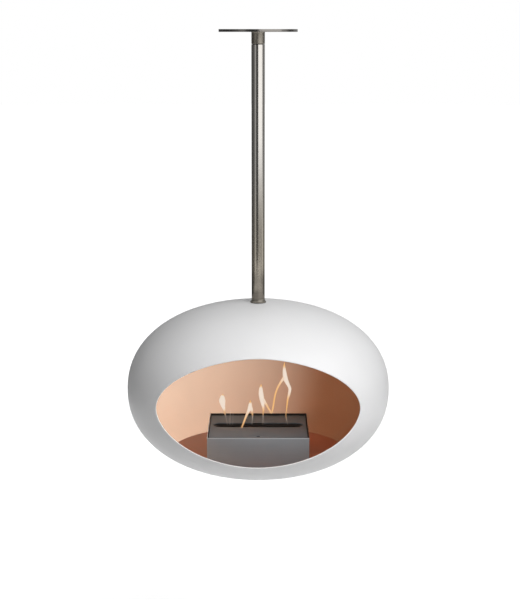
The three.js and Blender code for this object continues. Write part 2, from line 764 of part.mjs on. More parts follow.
add(fireplace, 'ceiling_plate', ceilingPlate(), 'brushedSteel');
add(fireplace, 'ceiling_stub', ceilingStub(), 'turnedSteel');
add(fireplace, 'swivel_bolt', swivelBolt(), 'darkSteel');
add(fireplace, 'swivel_washer', swivelWasher(), 'darkPolymer');
add(fireplace, 'swivel_bush', swivelBush(), 'bronze');
add(fireplace, 'thrust_washer', thrustWasher(), 'bronze');
add(fireplace, 'pole_top_plug', poleTopPlug(), 'turnedSteel');
add(fireplace, 'pole_tube', poleTube(), 'brushedSteel');
add(fireplace, 'pole_collar', poleCollar(), 'brushedSteel');
add(fireplace, 'collar_gasket', collarGasket(), 'darkPolymer');
[plugScrewHeight, spigotScrewHeight].forEach((height, row) => {
  setScrewAngles.forEach((angle, i) => {
    add(fireplace, `pole_set_screw_${2 * row + i + 1}`, setScrew(angle, height), 'darkSteel');
  });
});

add(ball, 'shell_upper', skinHalf(0, SHELL_WALL, 1), 'whitePaint');
add(ball, 'shell_lower', skinHalf(0, SHELL_WALL, -1), 'whitePaint');
add(ball, 'liner_upper', skinHalf(linerDepth, LINER_WALL, 1), 'copperCoat');
add(ball, 'liner_lower', skinHalf(linerDepth, LINER_WALL, -1), 'copperCoat');
add(ball, 'spreader_plate', spreaderPlate(), 'zincSteel');
add(ball, 'hanger_washer', hangerWasher(), 'zincSteel');
add(ball, 'hanger_bolt', hangerBolt(), 'zincSteel');
add(ball, 'hanger_cap', hangerCap(), 'copperCoat');
add(ball, 'floor_plate', floorPlate(), 'copperCoat');
floorScrewAngles.forEach((angle, i) => {
  add(ball, `floor_bracket_${i + 1}`, floorBracket(angle), 'darkSteel');
  add(ball, `floor_screw_${i + 1}`, floorScrew(angle), 'darkSteel');
});

add(burner, 'burner_casing', burnerCasing(), 'greySteel');
footPlaces.forEach((place, i) => {
  add(burner, `burner_foot_${i + 1}`, burnerFoot(place), 'darkPolymer');
});
add(burner, 'lid_rail_front', lidRail(-1), 'darkSteel');
add(burner, 'lid_rail_back', lidRail(1), 'darkSteel');
add(burner, 'tank_bearer_front', tankBearer(-1), 'darkSteel');
add(burner, 'tank_bearer_back', tankBearer(1), 'darkSteel');
add(burner, 'fuel_tank', fuelTank(), 'zincSteel');
add(burner, 'fibre_block', fibreBlock(), 'fibre');
add(burner, 'wick_screen', wickScreen(), 'darkSteel');
add(burner, 'damper_guide_left', damperGuide(-1), 'zincSteel');
add(burner, 'damper_guide_right', damperGuide(1), 'zincSteel');
add(burner, 'damper_plate', damperPlate(), 'darkSteel');
add(burner, 'burner_lid', burnerLid(), 'greySteel');

export default fireplace;
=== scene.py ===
"""Hanging fireplace: finishes, smooth skins, fittings and flames around its CAD frame.

Lengths are in metres in the frame's axes: +Z up along the pole, the mouth of the firebox
towards -Y, and the origin in the middle of the ceiling plate's upper face.
"""

import math

import bmesh
import bpy
from bpy.props import FloatProperty, FloatVectorProperty, PointerProperty
from bpy.types import Operator, Panel, PropertyGroup
from mathutils import Matrix, Vector


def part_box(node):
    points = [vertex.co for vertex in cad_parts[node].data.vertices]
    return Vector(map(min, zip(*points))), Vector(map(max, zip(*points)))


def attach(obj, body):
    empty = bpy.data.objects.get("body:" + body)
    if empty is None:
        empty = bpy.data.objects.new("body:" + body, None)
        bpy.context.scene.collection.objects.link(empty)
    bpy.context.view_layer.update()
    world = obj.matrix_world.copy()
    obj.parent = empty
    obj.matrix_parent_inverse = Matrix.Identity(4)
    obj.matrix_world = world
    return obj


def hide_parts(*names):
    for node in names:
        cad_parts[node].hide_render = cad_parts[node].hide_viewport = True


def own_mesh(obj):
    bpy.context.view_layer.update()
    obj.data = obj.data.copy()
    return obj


bl_info = {
    "name": "Hanging Fireplace",
    "version": (1, 0, 0),
    "blender": (4, 5, 0),
    "location": "3D View > Sidebar > Fireplace",
    "description": "Dresses the frame of a ceiling-hung ethanol fireplace",
    "category": "Object",
}

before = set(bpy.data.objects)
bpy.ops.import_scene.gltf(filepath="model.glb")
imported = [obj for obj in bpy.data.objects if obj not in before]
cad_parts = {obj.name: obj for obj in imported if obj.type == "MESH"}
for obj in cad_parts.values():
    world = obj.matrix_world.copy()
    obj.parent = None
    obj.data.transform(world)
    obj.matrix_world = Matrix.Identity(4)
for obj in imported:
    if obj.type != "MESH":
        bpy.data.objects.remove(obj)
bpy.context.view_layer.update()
MM = 0.001

# ---- places in the frame

PLATE_LOW, PLATE_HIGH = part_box("ceiling_plate")
STUB_LOW, STUB_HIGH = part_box("ceiling_stub")
RING_LOW, RING_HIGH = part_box("swivel_washer")
POLE_LOW, POLE_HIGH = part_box("pole_tube")
COLLAR_LOW, COLLAR_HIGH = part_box("pole_collar")
GASKET_LOW, GASKET_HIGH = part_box("collar_gasket")
UPPER_LOW, UPPER_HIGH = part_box("shell_upper")
SPREADER_LOW, SPREADER_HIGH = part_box("spreader_plate")
CAP_LOW, CAP_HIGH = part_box("hanger_cap")
FLOOR_LOW, FLOOR_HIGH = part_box("floor_plate")
CASE_LOW, CASE_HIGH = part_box("burner_casing")
LID_LOW, LID_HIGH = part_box("burner_lid")
TANK_LOW, TANK_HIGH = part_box("fuel_tank")

BALL_MIDDLE = UPPER_LOW.z
SLOT_Y = (TANK_LOW.y + TANK_HIGH.y) / 2

HANGER_BORE = 8.3 * MM
SCREW_BORE = 2.8 * MM  # radius of the holes for the grub screws and the hearth's screws
SCREW_SHANK = 2.5 * MM
SCREW_KEY = 2.5 * MM  # across the flats of both kinds' sockets
GRUB_SCREW_PLACES = [  # angle round the pole and height
    (angle, height)
    for height in (POLE_HIGH.z - 6 * MM, POLE_LOW.z + 18 * MM)
    for angle in (55, 125)
]
HEARTH_SCREW_ANGLES = (90, 210, 330)
HEARTH_SCREW_INSET = 24 * MM
FOOT_INSET = 26 * MM  # from the casing's faces to the middle of a foot's pin
FOOT_PIN_BORE = 3.3 * MM
HOOK_SETBACK = 28 * MM  # from the casing's front to the tool hole's middle
EDGE_HIGHLIGHT_DEPTH = 1.8 * MM  # how far down the casing's top edge is brightened as a painted highlight
FOOT_SHADE_TOP = POLE_LOW.z + 85 * MM  # where the steel of the pole's foot begins to darken with painted shade; the straw tone runs above it

# ---- settings


def length(name, description, default):
    return FloatProperty(name=name, description=description, default=default, min=0, unit="LENGTH")


def colour(name, description, default):
    return FloatVectorProperty(
        name=name, description=description, default=default, min=0, max=1, subtype="COLOR"
    )


def power(name, description, default):
    return FloatProperty(name=name, description=description, default=default, min=0, unit="POWER")


def number(name, description, default, least, most):
    return FloatProperty(name=name, description=description, default=default, min=least, max=most)


class MountSettings(PropertyGroup):
    """Sizes of the ceiling plate and the pole."""

    plate_radius: length("Plate radius", "Outer radius of the ceiling plate", PLATE_HIGH.x)
    screw_circle: length("Screw circle", "Radius of the ceiling screws' circle", 70 * MM)
    screw_hole: length("Screw hole", "Radius of a ceiling screw's hole", 3.25 * MM)
    screw_head: length("Countersink", "Radius of a countersink at its mouth", 6.5 * MM)
    pole_radius: length("Pole radius", "Outer radius of the pole and the stub", POLE_HIGH.x)
    pole_wall: length("Pole wall", "Wall of the pole tube", 2 * MM)


class BallSettings(PropertyGroup):
    """Sizes of the ball, its liner and its mouth."""

    radius: length("Radius", "Widest radius of the ball", UPPER_HIGH.x)
    half_height: length("Half height", "From its middle to its top", UPPER_HIGH.z - BALL_MIDDLE)
    flat_radius: length("Flat radius", "Radius of the flat at top and bottom", 32 * MM)
    roundness: number(
        "Roundness", "Exponent of the ball's outline: more than 2 is squarer", 2.19, 1.5, 4
    )
    shell_wall: length("Shell wall", "Thickness of the painted shell", 2 * MM)
    liner_depth: length("Liner depth", "From the shell's outer face to the liner", 2.3 * MM)
    liner_wall: length("Liner wall", "Thickness of the heat liner", 1 * MM)
    mouth_width: length("Mouth width", "Width of the mouth, seen from the front", 446 * MM)
    mouth_height: length("Mouth height", "Height of the mouth, seen from the front", 242 * MM)
    mouth_roundness: number(
        "Mouth roundness", "Exponent of the mouth's outline: less is more pointed", 1.86, 1.2, 4
    )
    rim_radius: length("Rim radius", "Radius of the painted bead round the mouth", 1.3 * MM)


class BurnerSettings(PropertyGroup):
    """Sizes of the burner's sheet metal."""

    case_wall: length("Casing wall", "Thickness of the casing's sheet", 1.5 * MM)
    case_edge: length("Casing edge", "Radius of the casing's folded edges", 0.9 * MM)
    slot_length: length("Slot length", "Length of the flame slot", 205 * MM)
    slot_width: length("Slot width", "Width of the flame slot", 36 * MM)
    ledge: length("Tank ledge", "How far the tank's slot lies inside the lid's", 5 * MM)
    tank_wall: length("Tank wall", "Thickness of the tank's sheet", 1.2 * MM)
    tool_hole: length("Tool hole", "Radius of the lid hook's hole", 4.5 * MM)


class FlameSettings(PropertyGroup):
    """Shape and glow of the flames."""

    size: number("Size", "Height of the flames as a share of the full size", 1, 0.1, 1.05)
    depth: number("Depth", "Thickness of a tongue as a share of its width", 0.6, 0.1, 1)
    core: number("Core", "Width of the bright core as a share of the tongue", 0.72, 0.1, 0.95)
    hot: colour("Core colour", "Colour of the hottest part", (0.87, 0.8, 0.73))
    warm: colour("Edge colour", "Colour of the thin parts and edges", (0.87, 0.47, 0.17))
    glow: number("Glow", "Strength of the flames' own light", 1, 0, 10)


class FinishSettings(PropertyGroup):
    """Colours of the fireplace's surfaces."""

    paint: colour("Paint", "Satin powder coat of the ball", (0.83, 0.83, 0.835))
    copper: colour("Copper", "Metallic coat of the firebox", (0.45, 0.235, 0.134))
    hearth: colour("Hearth", "Metallic coat of the firebox floor", (0.262, 0.098, 0.058))
    steel: colour("Steel", "Brushed steel of the pole", (0.6, 0.575, 0.54))
    # The colour that darkens the pole's foot as painted shade.
    painted_foot_shade: colour("Heated steel", "Heat tint of the pole's foot", (0.25, 0.225, 0.19))
    plate: colour("Plate", "Brushed steel of the ceiling plate", (0.25, 0.237, 0.22))
    stub: colour("Stub", "Dull steel of the stub and the pole's collar", (0.3, 0.275, 0.235))
    case: colour("Casing", "Grey coat of the burner's casing", (0.245, 0.262, 0.278))
    lid: colour("Lid", "Grey coat of the burner's lid", (0.118, 0.142, 0.168))
    # Black of the wick screen's finish, also used as painted shade inside the burner's casing.
    soot: colour("Soot", "Blackened steel inside the slot", (0.02, 0.019, 0.018))


class StageSettings(PropertyGroup):
    """The floor and the light round the fireplace."""

    floor_drop: length("Floor drop", "From the ceiling plate down to the floor", 1.62)
    key_power: power("Key", "Soft light from the front, high up", 45)
    side_power: power("Side", "Soft light from the right", 14.5)
    back_power: power("Back", "Soft light from behind", 9)
    firebox_power: power("Firebox", "Light on the liner from the firebox's right end", 2.8)
    fill: number("Fill", "Strength of the light from all round", 0.2, 0, 1)


# ---- meshes


def rounded(points, radius, steps=3):
    """The closed outline with each of its corners eased by that radius."""
    eased = []
    count = len(points)
    for i, corner in enumerate(points):
        here = Vector(corner)
        back, ahead = Vector(points[i - 1]) - here, Vector(points[(i + 1) % count]) - here
        reach = min(radius, 0.45 * back.length, 0.45 * ahead.length)
        start, end = here + back.normalized() * reach, here + ahead.normalized() * reach
        for step in range(steps + 1):
            t = step / steps
            eased.append(tuple(start.lerp(here, t).lerp(here.lerp(end, t), t)))
    return eased


def turned(outline, sides=96):
    """Vertices and faces of the closed outline of (radius, height) turned about Z."""
    vertices, rows = [], []
    for radius, height in outline:
        if radius < 1e-7:
            rows.append([len(vertices)] * sides)
            vertices.append((0, 0, height))
            continue
        rows.append(list(range(len(vertices), len(vertices) + sides)))
        for i in range(sides):
            angle = 2 * math.pi * i / sides
            vertices.append((radius * math.cos(angle), radius * math.sin(angle), height))
    faces = []
    for low, high in zip(rows, rows[1:] + rows[:1]):
        if low[0] == low[1] and high[0] == high[1]:
            continue
        for i in range(sides):
            j = (i + 1) % sides
            corners = [low[i], low[j], high[j], high[i]]
            faces.append([c for n, c in enumerate(corners) if c not in corners[:n]])
    return vertices, faces


def prism(outline, low, high, axis="Z"):
    """Vertices and faces of a flat outline run from low to high along an axis."""
    if axis == "Z":
        vertices = [(u, v, end) for end in (low, high) for u, v in outline]
    else:
        vertices = [(u, end, v) for end in (low, high) for u, v in outline]
    n = len(outline)
    sides = [(i, (i + 1) % n, (i + 1) % n + n, i + n) for i in range(n)]
    return vertices, [*sides, tuple(range(n)), tuple(range(n, 2 * n))]


def rectangle(low, high):
    """Corners of a rectangle between two points, of which only X and Y count."""
    return [(low[0], low[1]), (high[0], low[1]), (high[0], high[1]), (low[0], high[1])]


def oblong(length, width, y, steps=24):
    """Outline of a slot with round ends along X, its middle at (0, y)."""
    radius, reach = width / 2, (length - width) / 2
    outline = []
    for side in (1, -1):
        for i in range(steps + 1):
            angle = math.pi * (i / steps - 0.5)
            x = side * (reach + radius * math.cos(angle))
            outline.append((x, y + side * radius * math.sin(angle)))
    return outline


def disc(radius, x=0.0, y=0.0, sides=32):
    turns = (2 * math.pi / sides * i for i in range(sides))
    return [(x + radius * math.cos(turn), y + radius * math.sin(turn)) for turn in turns]


def moved(shape, matrix):
    """A pair of vertices and faces with its vertices moved."""
    vertices, faces = shape
    return [matrix @ Vector(v) for v in vertices], faces


def mesh_of(name, vertices, faces):
    """A mesh with its faces turned outwards."""
    mesh = bpy.data.meshes.new(name)
    mesh.from_pydata([tuple(v) for v in vertices], [], [tuple(f) for f in faces])
    work = bmesh.new()
    work.from_mesh(mesh)
    bmesh.ops.remove_doubles(work, verts=work.verts, dist=1e-7)
    bmesh.ops.recalc_face_normals(work, faces=work.faces)
    work.to_mesh(mesh)
    work.free()
    return mesh


def placed(name, data):
    """A new object in the scene."""
    made = bpy.data.objects.new(name, data)
    bpy.context.scene.collection.objects.link(made)
    return made


def with_modifiers(mesh, *wanted):
    """The mesh after modifiers, each given as its type and its settings."""
    carrier = placed(mesh.name, mesh)
    for kind, settings in wanted:
        modifier = carrier.modifiers.new(kind.title(), kind)
        for key, value in settings.items():
            setattr(modifier, key, value)
    evaluated = carrier.evaluated_get(bpy.context.evaluated_depsgraph_get())
    made = bpy.data.meshes.new_from_object(evaluated)
    made.name = mesh.name
    bpy.data.objects.remove(carrier)
    return made


def carved(mesh, *cutters):
    """The mesh less each cutter, which is a pair of vertices and faces."""
    tools, cuts = [], []
    for cutter in cutters:
        tool = placed("cutter", mesh_of("cutter", *cutter))
        tools.append(tool)
        cuts.append(("BOOLEAN", {"operation": "DIFFERENCE", "solver": "EXACT", "object": tool}))
    made = with_modifiers(mesh, *cuts)
    for tool in tools:
        bpy.data.objects.remove(tool)
    if not made.polygons:
        raise RuntimeError(f"{mesh.name} was carved away")
    return made


def eased(mesh, radius, segments=3):
    """The mesh with its sharp edges rounded."""
    sharp = {"limit_method": "ANGLE", "angle_limit": math.radians(50)}
    return with_modifiers(mesh, ("BEVEL", {"width": radius, "segments": segments, **sharp}))


def piece(name, mesh, body, slot, finish, replaces=(), crease=32):
    """Puts a mesh in the scene as a part of the fireplace."""
    mesh.shade_smooth()
    mesh.set_sharp_from_angle(angle=math.radians(crease))
    mesh.materials.clear()
    mesh.materials.append(finish)
    made = placed(name, mesh)
    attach(made, body)
    if replaces:
        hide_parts(*replaces)
    return made


def turned_piece(name, outline, ease, *rest):
    """A piece turned about Z from an outline whose corners are eased."""
    return piece(name, mesh_of(name, *turned(rounded(outline, ease))), *rest)


def socketed(name, outline, depth, top, place):
    """A screw turned from its outline, with a hexagonal socket in its top, and moved."""
    hexagon = disc(SCREW_KEY / 2 / math.cos(math.pi / 6), sides=6)
    body = mesh_of(name, *turned(outline, 32))
    mesh = carved(body, prism(hexagon, top - depth, top + MM))
    mesh.transform(place)
    return mesh


# ---- shader maths


class Value:
    """A socket of a node tree, so that shader maths reads as plain arithmetic."""

    def __init__(self, tree, socket):
        self.tree, self.socket = tree, socket

    def __add__(self, other):
        return self.tree.maths("ADD", self, other)

    def __sub__(self, other):
        return self.tree.maths("SUBTRACT", self, other)

    def __rsub__(self, other):
        return self.tree.maths("SUBTRACT", other, self)

    def __mul__(self, other):
        return self.tree.maths("MULTIPLY", self, other)

    def __pow__(self, other):
        return self.tree.maths("POWER", self, other)

    __radd__ = __add__
    __rmul__ = __mul__


class Tree:
    """The node tree of a material or the world, and the nodes added to it."""

    def __init__(self, owner):
        owner.use_nodes = True
        self.nodes, self.links = owner.node_tree.nodes, owner.node_tree.links
        self.nodes.clear()

    def node(self, kind, settings=None, inputs=None, output=0):
        """Adds a node: its settings first, then the values or links of its sockets."""
        made = self.nodes.new(kind)
        for key, value in (settings or {}).items():
            setattr(made, key, value)
        for key, value in (inputs or {}).items():
            socket = made.inputs[key]
            if isinstance(value, Value):
                self.links.new(value.socket, socket)
            elif socket.type == "RGBA":
                socket.default_value = (*value[:3], 1)
            else:
                socket.default_value = value
        return Value(self, made.outputs[output]) if made.outputs else None

    def maths(self, operation, *values):
        return self.node("ShaderNodeMath", {"operation": operation}, dict(enumerate(values)))

    def between(self, value, low, high):
        """0 below low, 1 above high and smooth between them."""
        inputs = {"Value": value, "From Min": low, "From Max": high}
        return self.node("ShaderNodeMapRange", {"interpolation_type": "SMOOTHSTEP"}, inputs)

    def blend(self, factor, first, second):
        """A colour between two colours."""
        inputs = {0: factor, 6: first, 7: second}
        return self.node("ShaderNodeMix", {"data_type": "RGBA"}, inputs, 2)

    def place(self):
        """The point on the piece, in the frame's own axes."""
        return self.node("ShaderNodeTexCoord", output="Object")

    def parts(self, vector):
        split = self.node("ShaderNodeSeparateXYZ", None, {0: vector}).socket.node
        return [Value(self, socket) for socket in split.outputs]

    def ring(self, x, y, across, height):
        """A point that is the same all round the pole's axis, for lines turned about it."""
        away = (x * x + y * y) ** 0.5
        return self.node("ShaderNodeCombineXYZ", None, {0: away, 1: across, 2: height})

    def stretched(self, vector, scale):
        return self.node("ShaderNodeVectorMath", {"operation": "MULTIPLY"}, {0: vector, 1: scale})

    def noise(self, vector, scale, detail=2.0, roughness=0.5):
        inputs = {"Vector": vector, "Scale": scale, "Detail": detail, "Roughness": roughness}
        return self.node("ShaderNodeTexNoise", None, inputs)

    def bump(self, height, strength, depth):
        inputs = {"Strength": strength, "Distance": depth, "Height": height}
        return self.node("ShaderNodeBump", None, inputs)

    def surface(self, **inputs):
        """Ends the tree in a Principled shader; underscores stand for spaces."""
        named = {key.replace("_", " "): value for key, value in inputs.items()}
        self.output(self.node("ShaderNodeBsdfPrincipled", None, named))

    def output(self, shader):
        self.node("ShaderNodeOutputMaterial", None, {"Surface": shader})


FINISHES = {}


def finish(fill):
    """Turns what fills a tree into what gives the named material, made the first time."""

    def give(name, *values, **named):
        if name not in FINISHES:
            FINISHES[name] = bpy.data.materials.new(name)
            fill(Tree(FINISHES[name]), *values, **named)
        return FINISHES[name]

    return give


def scaled(shade, factor):
    return tuple(min(1.0, c * factor) for c in shade)


# ---- finishes


@finish
def satin_paint(tree, colours):
    """Powder coat: a fine orange peel and a very slight drift in gloss and tone."""
    place = tree.place()
    peel = tree.noise(place, 520, 2)
    drift = tree.noise(place, 9, 3)
    shade = scaled(colours.paint, 0.985)
    tone = tree.blend(tree.between(drift, 0.35, 0.65), shade, colours.paint)
    tree.surface(
        Base_Color=tone,
        Roughness=0.4 + drift * 0.08,
        Normal=tree.bump(peel, 0.12, 0.0003),
    )


@finish
def copper_coat(tree, colours):
    """Metallic copper coat over a spun skin: rings about the pole's axis and heat bloom."""
    place = tree.place()
    x, y, z = tree.parts(place)
    spun = tree.noise(tree.ring(x, y, 0.0, z), 420, 2)
    flake = tree.noise(place, 1600, 1)
    bloom = tree.noise(place, 7, 3)
    shade = colours.copper
    tone = tree.blend(tree.between(bloom, 0.3, 0.7), scaled(shade, 0.94), shade)
    tone = tree.blend(tree.between(flake, 0.62, 0.75) * 0.25, tone, scaled(shade, 1.25))
    tree.surface(
        Base_Color=tone,
        Metallic=0.2,
        Roughness=0.42 + spun * 0.1,
        Normal=tree.bump(spun, 0.08, 0.0003),
    )


@finish
def hearth_coat(tree, colours):
    """The hearth disc: a darker copper, with painted shade on the left and painted light on the
    right.
    """
    place = tree.place()
    x, y, _ = tree.parts(place)
    spun = tree.noise(tree.ring(x, y, 0.0, 0.0), 380, 2)
    bloom = tree.noise(place, 11, 4)
    patches, shade = tree.between(bloom, 0.3, 0.7), colours.hearth
    # Painted shade on the disc's left, painted light on its right.
    painted_shade_left = tree.blend(patches, scaled(shade, 0.9), scaled(shade, 1.05))
    bright = tree.blend(patches, scaled(shade, 1.8), scaled(shade, 2.05))
    tree.surface(
        Base_Color=tree.blend(tree.between(x + bloom * 0.06, -0.14, 0.2), painted_shade_left, bright),
        Metallic=0.2,
        Roughness=0.36 + bloom * 0.16,
        Normal=tree.bump(spun, 0.06, 0.0003),
    )


@finish
def ringed_steel(tree, shade, roughness, lines=0.04, painted_foot_shade=None):
    """Steel brushed round the pole's axis, straw-coloured and then darker towards its foot with
    painted shade.
    """
    place = tree.place()
    x, y, z = tree.parts(place)
    brush = tree.noise(tree.ring(x, y, x * 0.01, z), 2200, 2, 0.6)
    smear = tree.noise(place, 24, 3)
    tone = tree.blend(brush, scaled(shade, 0.9), scaled(shade, 1.08))
    if painted_foot_shade:
        top = FOOT_SHADE_TOP
        straw = (shade[0] * 1.03, shade[1] * 0.97, shade[2] * 0.86)
        tone = tree.blend(tree.between(z, top, top + 0.25), straw, tone)
        # Painted shade: the foot darkens to the given colour.
        tone = tree.blend(tree.between(z + smear * 0.006, top - 0.045, top), painted_foot_shade, tone)
    tree.surface(
        Base_Color=tone,
        Metallic=1.0,
        Roughness=roughness + smear * 0.04,
        Normal=tree.bump(brush, lines, 0.0002),
    )


def dull_steel(colours):
    """Turned steel of the stub, the pole's collar and the plug in its top."""
    return ringed_steel("stub_steel", colours.stub, 0.34, 0.2)


@finish
def brushed_coat(tree, shade, roughness, shine=0.5, highlight_from=None):
    """Grey coat over steel brushed along X, with a painted highlight above a height."""
    place = tree.place()
    brush = tree.noise(tree.stretched(place, (0.012, 1, 1)), 1300, 3, 0.6)
    drift = tree.noise(place, 18, 3)
    tone = tree.blend(brush, scaled(shade, 0.9), scaled(shade, 1.1))
    tone = tree.blend(tree.between(drift, 0.3, 0.7) * 0.4, tone, scaled(shade, 0.93))
    if highlight_from is not None:
        # Painted highlight: the coat is drawn brighter above that height.
        height = tree.parts(place)[2]
        edge_highlight = tree.between(height, highlight_from, highlight_from + 0.4 * MM)
        tone = tree.blend(edge_highlight, tone, scaled(shade, 1.9))
    tree.surface(
        Base_Color=tone,
        Metallic=0.25,
        Specular_IOR_Level=shine,
        Roughness=roughness + brush * 0.12,
        Normal=tree.bump(brush, 0.1, 0.0002),
    )


@finish
def plain_metal(tree, shade, roughness, metallic=1.0, grain=300):
    """Sheet or bar stock of the hidden fittings, with a light grain."""
    place = tree.place()
    grains = tree.noise(place, grain, 3)
    tree.surface(
        Base_Color=tree.blend(grains, scaled(shade, 0.8), scaled(shade, 1.15)),
        Metallic=metallic,
        Roughness=roughness + grains * 0.15,
        Normal=tree.bump(grains, 0.1, 0.0002),
    )


# Black of the wick screen's finish, also used as painted shade inside the burner's casing.
def soot(colours):
    return plain_metal("soot", colours.soot, 0.6, 0.2)


# Colour, roughness, metallic share and grain of the fittings' plain stock.
STOCK = {
    "blackened_steel": ((0.05, 0.05, 0.05), 0.4, 1.0, 300),
    "galvanised_steel": ((0.45, 0.46, 0.47), 0.35, 0.9, 300),
    # The tank's zinc, darkened as painted shade for the recess under the slot.
    "sooted_steel": ((0.075, 0.072, 0.068), 0.45, 0.6, 300),
    "sintered_bronze": ((0.39, 0.2, 0.05), 0.38, 1.0, 1400),
    "black_polymer": ((0.02, 0.02, 0.02), 0.5, 0.0, 700),
}


def stock(name):
    return plain_metal(name, *STOCK[name])


@finish
def ceramic_fibre(tree):
    """Felted fibre: matted strands and a loose surface."""
    place = tree.place()
    mat = tree.noise(tree.stretched(place, (1, 0.4, 1)), 900, 4, 0.7)
    tree.surface(
        Base_Color=tree.blend(mat, (0.6, 0.57, 0.5), (0.85, 0.83, 0.78)),
        Roughness=0.95,
        Normal=tree.bump(mat, 0.5, 0.0006),
    )


FLAME_FOOT = (0.76, 0.42, 0.2)
FLAME_WISP = (0.8, 0.68, 0.6)  # where a tongue is nearly clear


@finish
def flame_skin(tree, flames, shade_wide, density):
    """Glowing gas: colour by how wide the tongue is, and clearer towards the slot."""
    width = tree.node("ShaderNodeAttribute", {"attribute_name": "width"}, output="Fac")
    body = tree.node("ShaderNodeAttribute", {"attribute_name": "body"}, output="Fac")
    tone = tree.blend(tree.between(width, 0.35, 0.85), flames.warm, shade_wide)
    tone = tree.blend(tree.between(body, 0.25, 0.85), FLAME_FOOT, tone)
    tone = tree.blend(tree.between(body, 0.07, 0.3), FLAME_WISP, tone)
    tree.surface(
        Base_Color=(0, 0, 0),
        Roughness=1.0,
        Specular_IOR_Level=0.0,
        Emission_Color=tone,
        Emission_Strength=flames.glow,
        Alpha=body * density,
    )


# ---- the ball's outline


def full_height(ball):
    """Half height that the outline would reach without the flats at top and bottom."""
    n = ball.roundness
    return ball.half_height / (1 - (ball.flat_radius / ball.radius) ** n) ** (1 / n)


def skin_profile(ball, depth, rings):
    """(radius, height) from the top's flat down to the bottom's, set in by a depth."""
    n, wide, tall = ball.roundness, ball.radius, full_height(ball)
    last = math.acos((ball.flat_radius / wide) ** (n / 2))
    half = []
    for i in range(rings + 1):
        turn = last * i / rings
        radius = wide * math.cos(turn) ** (2 / n)
        height = tall * math.sin(turn) ** (2 / n)
        slope = Vector(((radius / wide) ** (n - 1) / wide, (height / tall) ** (n - 1) / tall))
        slope.normalize()
        half.append((radius - depth * slope[0], height - depth * slope[1]))
    half[-1] = (half[-1][0], ball.half_height - depth)
    return list(reversed(half)) + [(radius, -height) for radius, height in half[1:]]


def skin(ball, depth, wall, sides=288, rings=72):
    """Vertices and faces of a closed skin of the whole ball, with the hanger's hole."""
    outer = skin_profile(ball, depth, rings)
    inner = skin_profile(ball, depth + wall, rings)
    top_outer, top_inner = (HANGER_BORE, outer[0][1]), (HANGER_BORE, inner[0][1])
    end_outer, end_inner = (0.0, outer[-1][1]), (0.0, inner[-1][1])
    outline = [top_outer, *outer, end_outer, end_inner, *reversed(inner), top_inner]
    return turned([(radius, BALL_MIDDLE + height) for radius, height in outline], sides)


def mouth_outline(ball, steps=240):
    """(x, z) of the mouth as it is seen from the front."""
    power = 2 / ball.mouth_roundness
    outline = []
    for i in range(steps):
        c, s = math.cos(2 * math.pi * i / steps), math.sin(2 * math.pi * i / steps)
        x = ball.mouth_width / 2 * math.copysign(abs(c) ** power, c)
        z = ball.mouth_height / 2 * math.copysign(abs(s) ** power, s)
        outline.append((x, BALL_MIDDLE + z))
    return outline


def depth_at(ball, x, z, depth):
    """Y of the skin's front at a point of the mouth's outline."""
    n = ball.roundness
    rise = abs(z - BALL_MIDDLE) / (full_height(ball) - depth)
    radius = (ball.radius - depth) * (1 - rise**n) ** (1 / n)
    return -math.sqrt(radius**2 - x**2)


def mouth_cutter(ball):
    """What the mouth takes out of the ball's front."""
    return prism(mouth_outline(ball), -ball.radius - MM, -ball.radius / 2, "Y")


# ---- operators


class FIREPLACE_OT_mount(Operator):
    """Turns the ceiling plate and its stub"""

    bl_idname = "fireplace.mount"
    bl_label = "Ceiling mount"

    def execute(self, context):
        mount, colours = context.scene.fireplace_mount, context.scene.fireplace_finishes
        rim, low = mount.plate_radius, PLATE_LOW.z
        plate = rounded([(0, 0), (0, low), (rim, low), (rim, 0)], 0.6 * MM)
        hole, head = mount.screw_hole, mount.screw_head
        sink = [(0, low - MM), (head, low - MM), (head, low), (hole, low + head - hole)]
        sink = turned([*sink, (hole, MM), (0, MM)], 32)
        sinks = []
        for angle in (45, 135, 225, 315):
            way = Vector((math.cos(math.radians(angle)), math.sin(math.radians(angle)), 0))
            sinks.append(moved(sink, Matrix.Translation(way * mount.screw_circle)))
        mesh = carved(mesh_of("mount_disc", *turned(plate, 192)), *sinks)
        steel = ringed_steel("plate_steel", colours.plate, 0.2)
        piece("mount_disc", mesh, "ceiling", "brushed_steel", steel, ["ceiling_plate"])

        radius, fillet, bore, ease = mount.pole_radius, 0.9 * MM, 6.3 * MM, 0.5 * MM
        top, low, roof = STUB_HIGH.z, STUB_LOW.z, STUB_HIGH.z - 4 * MM
        stub = [(0, top), (0, roof), (bore, roof), (bore, low), (radius - ease, low)]
        stub.append((radius, low + ease))
        for i in range(4, -1, -1):
            turn = math.pi / 2 * i / 4
            across, down = fillet * (1 - math.sin(turn)), fillet * (1 - math.cos(turn))
            stub.append((radius + across, top - down))
        mesh = mesh_of("mount_stub", *turned(stub))
        piece("mount_stub", mesh, "ceiling", "turned_steel", dull_steel(colours), ["ceiling_stub"])

        ring = rectangle((7.2 * MM, RING_LOW.z), (RING_HIGH.x, RING_HIGH.z))
        slot, polymer = "dark_polymer", stock("black_polymer")
        turned_piece("swivel_ring", ring, 0.2 * MM, "ceiling", slot, polymer, ["swivel_washer"])
        return {"FINISHED"}


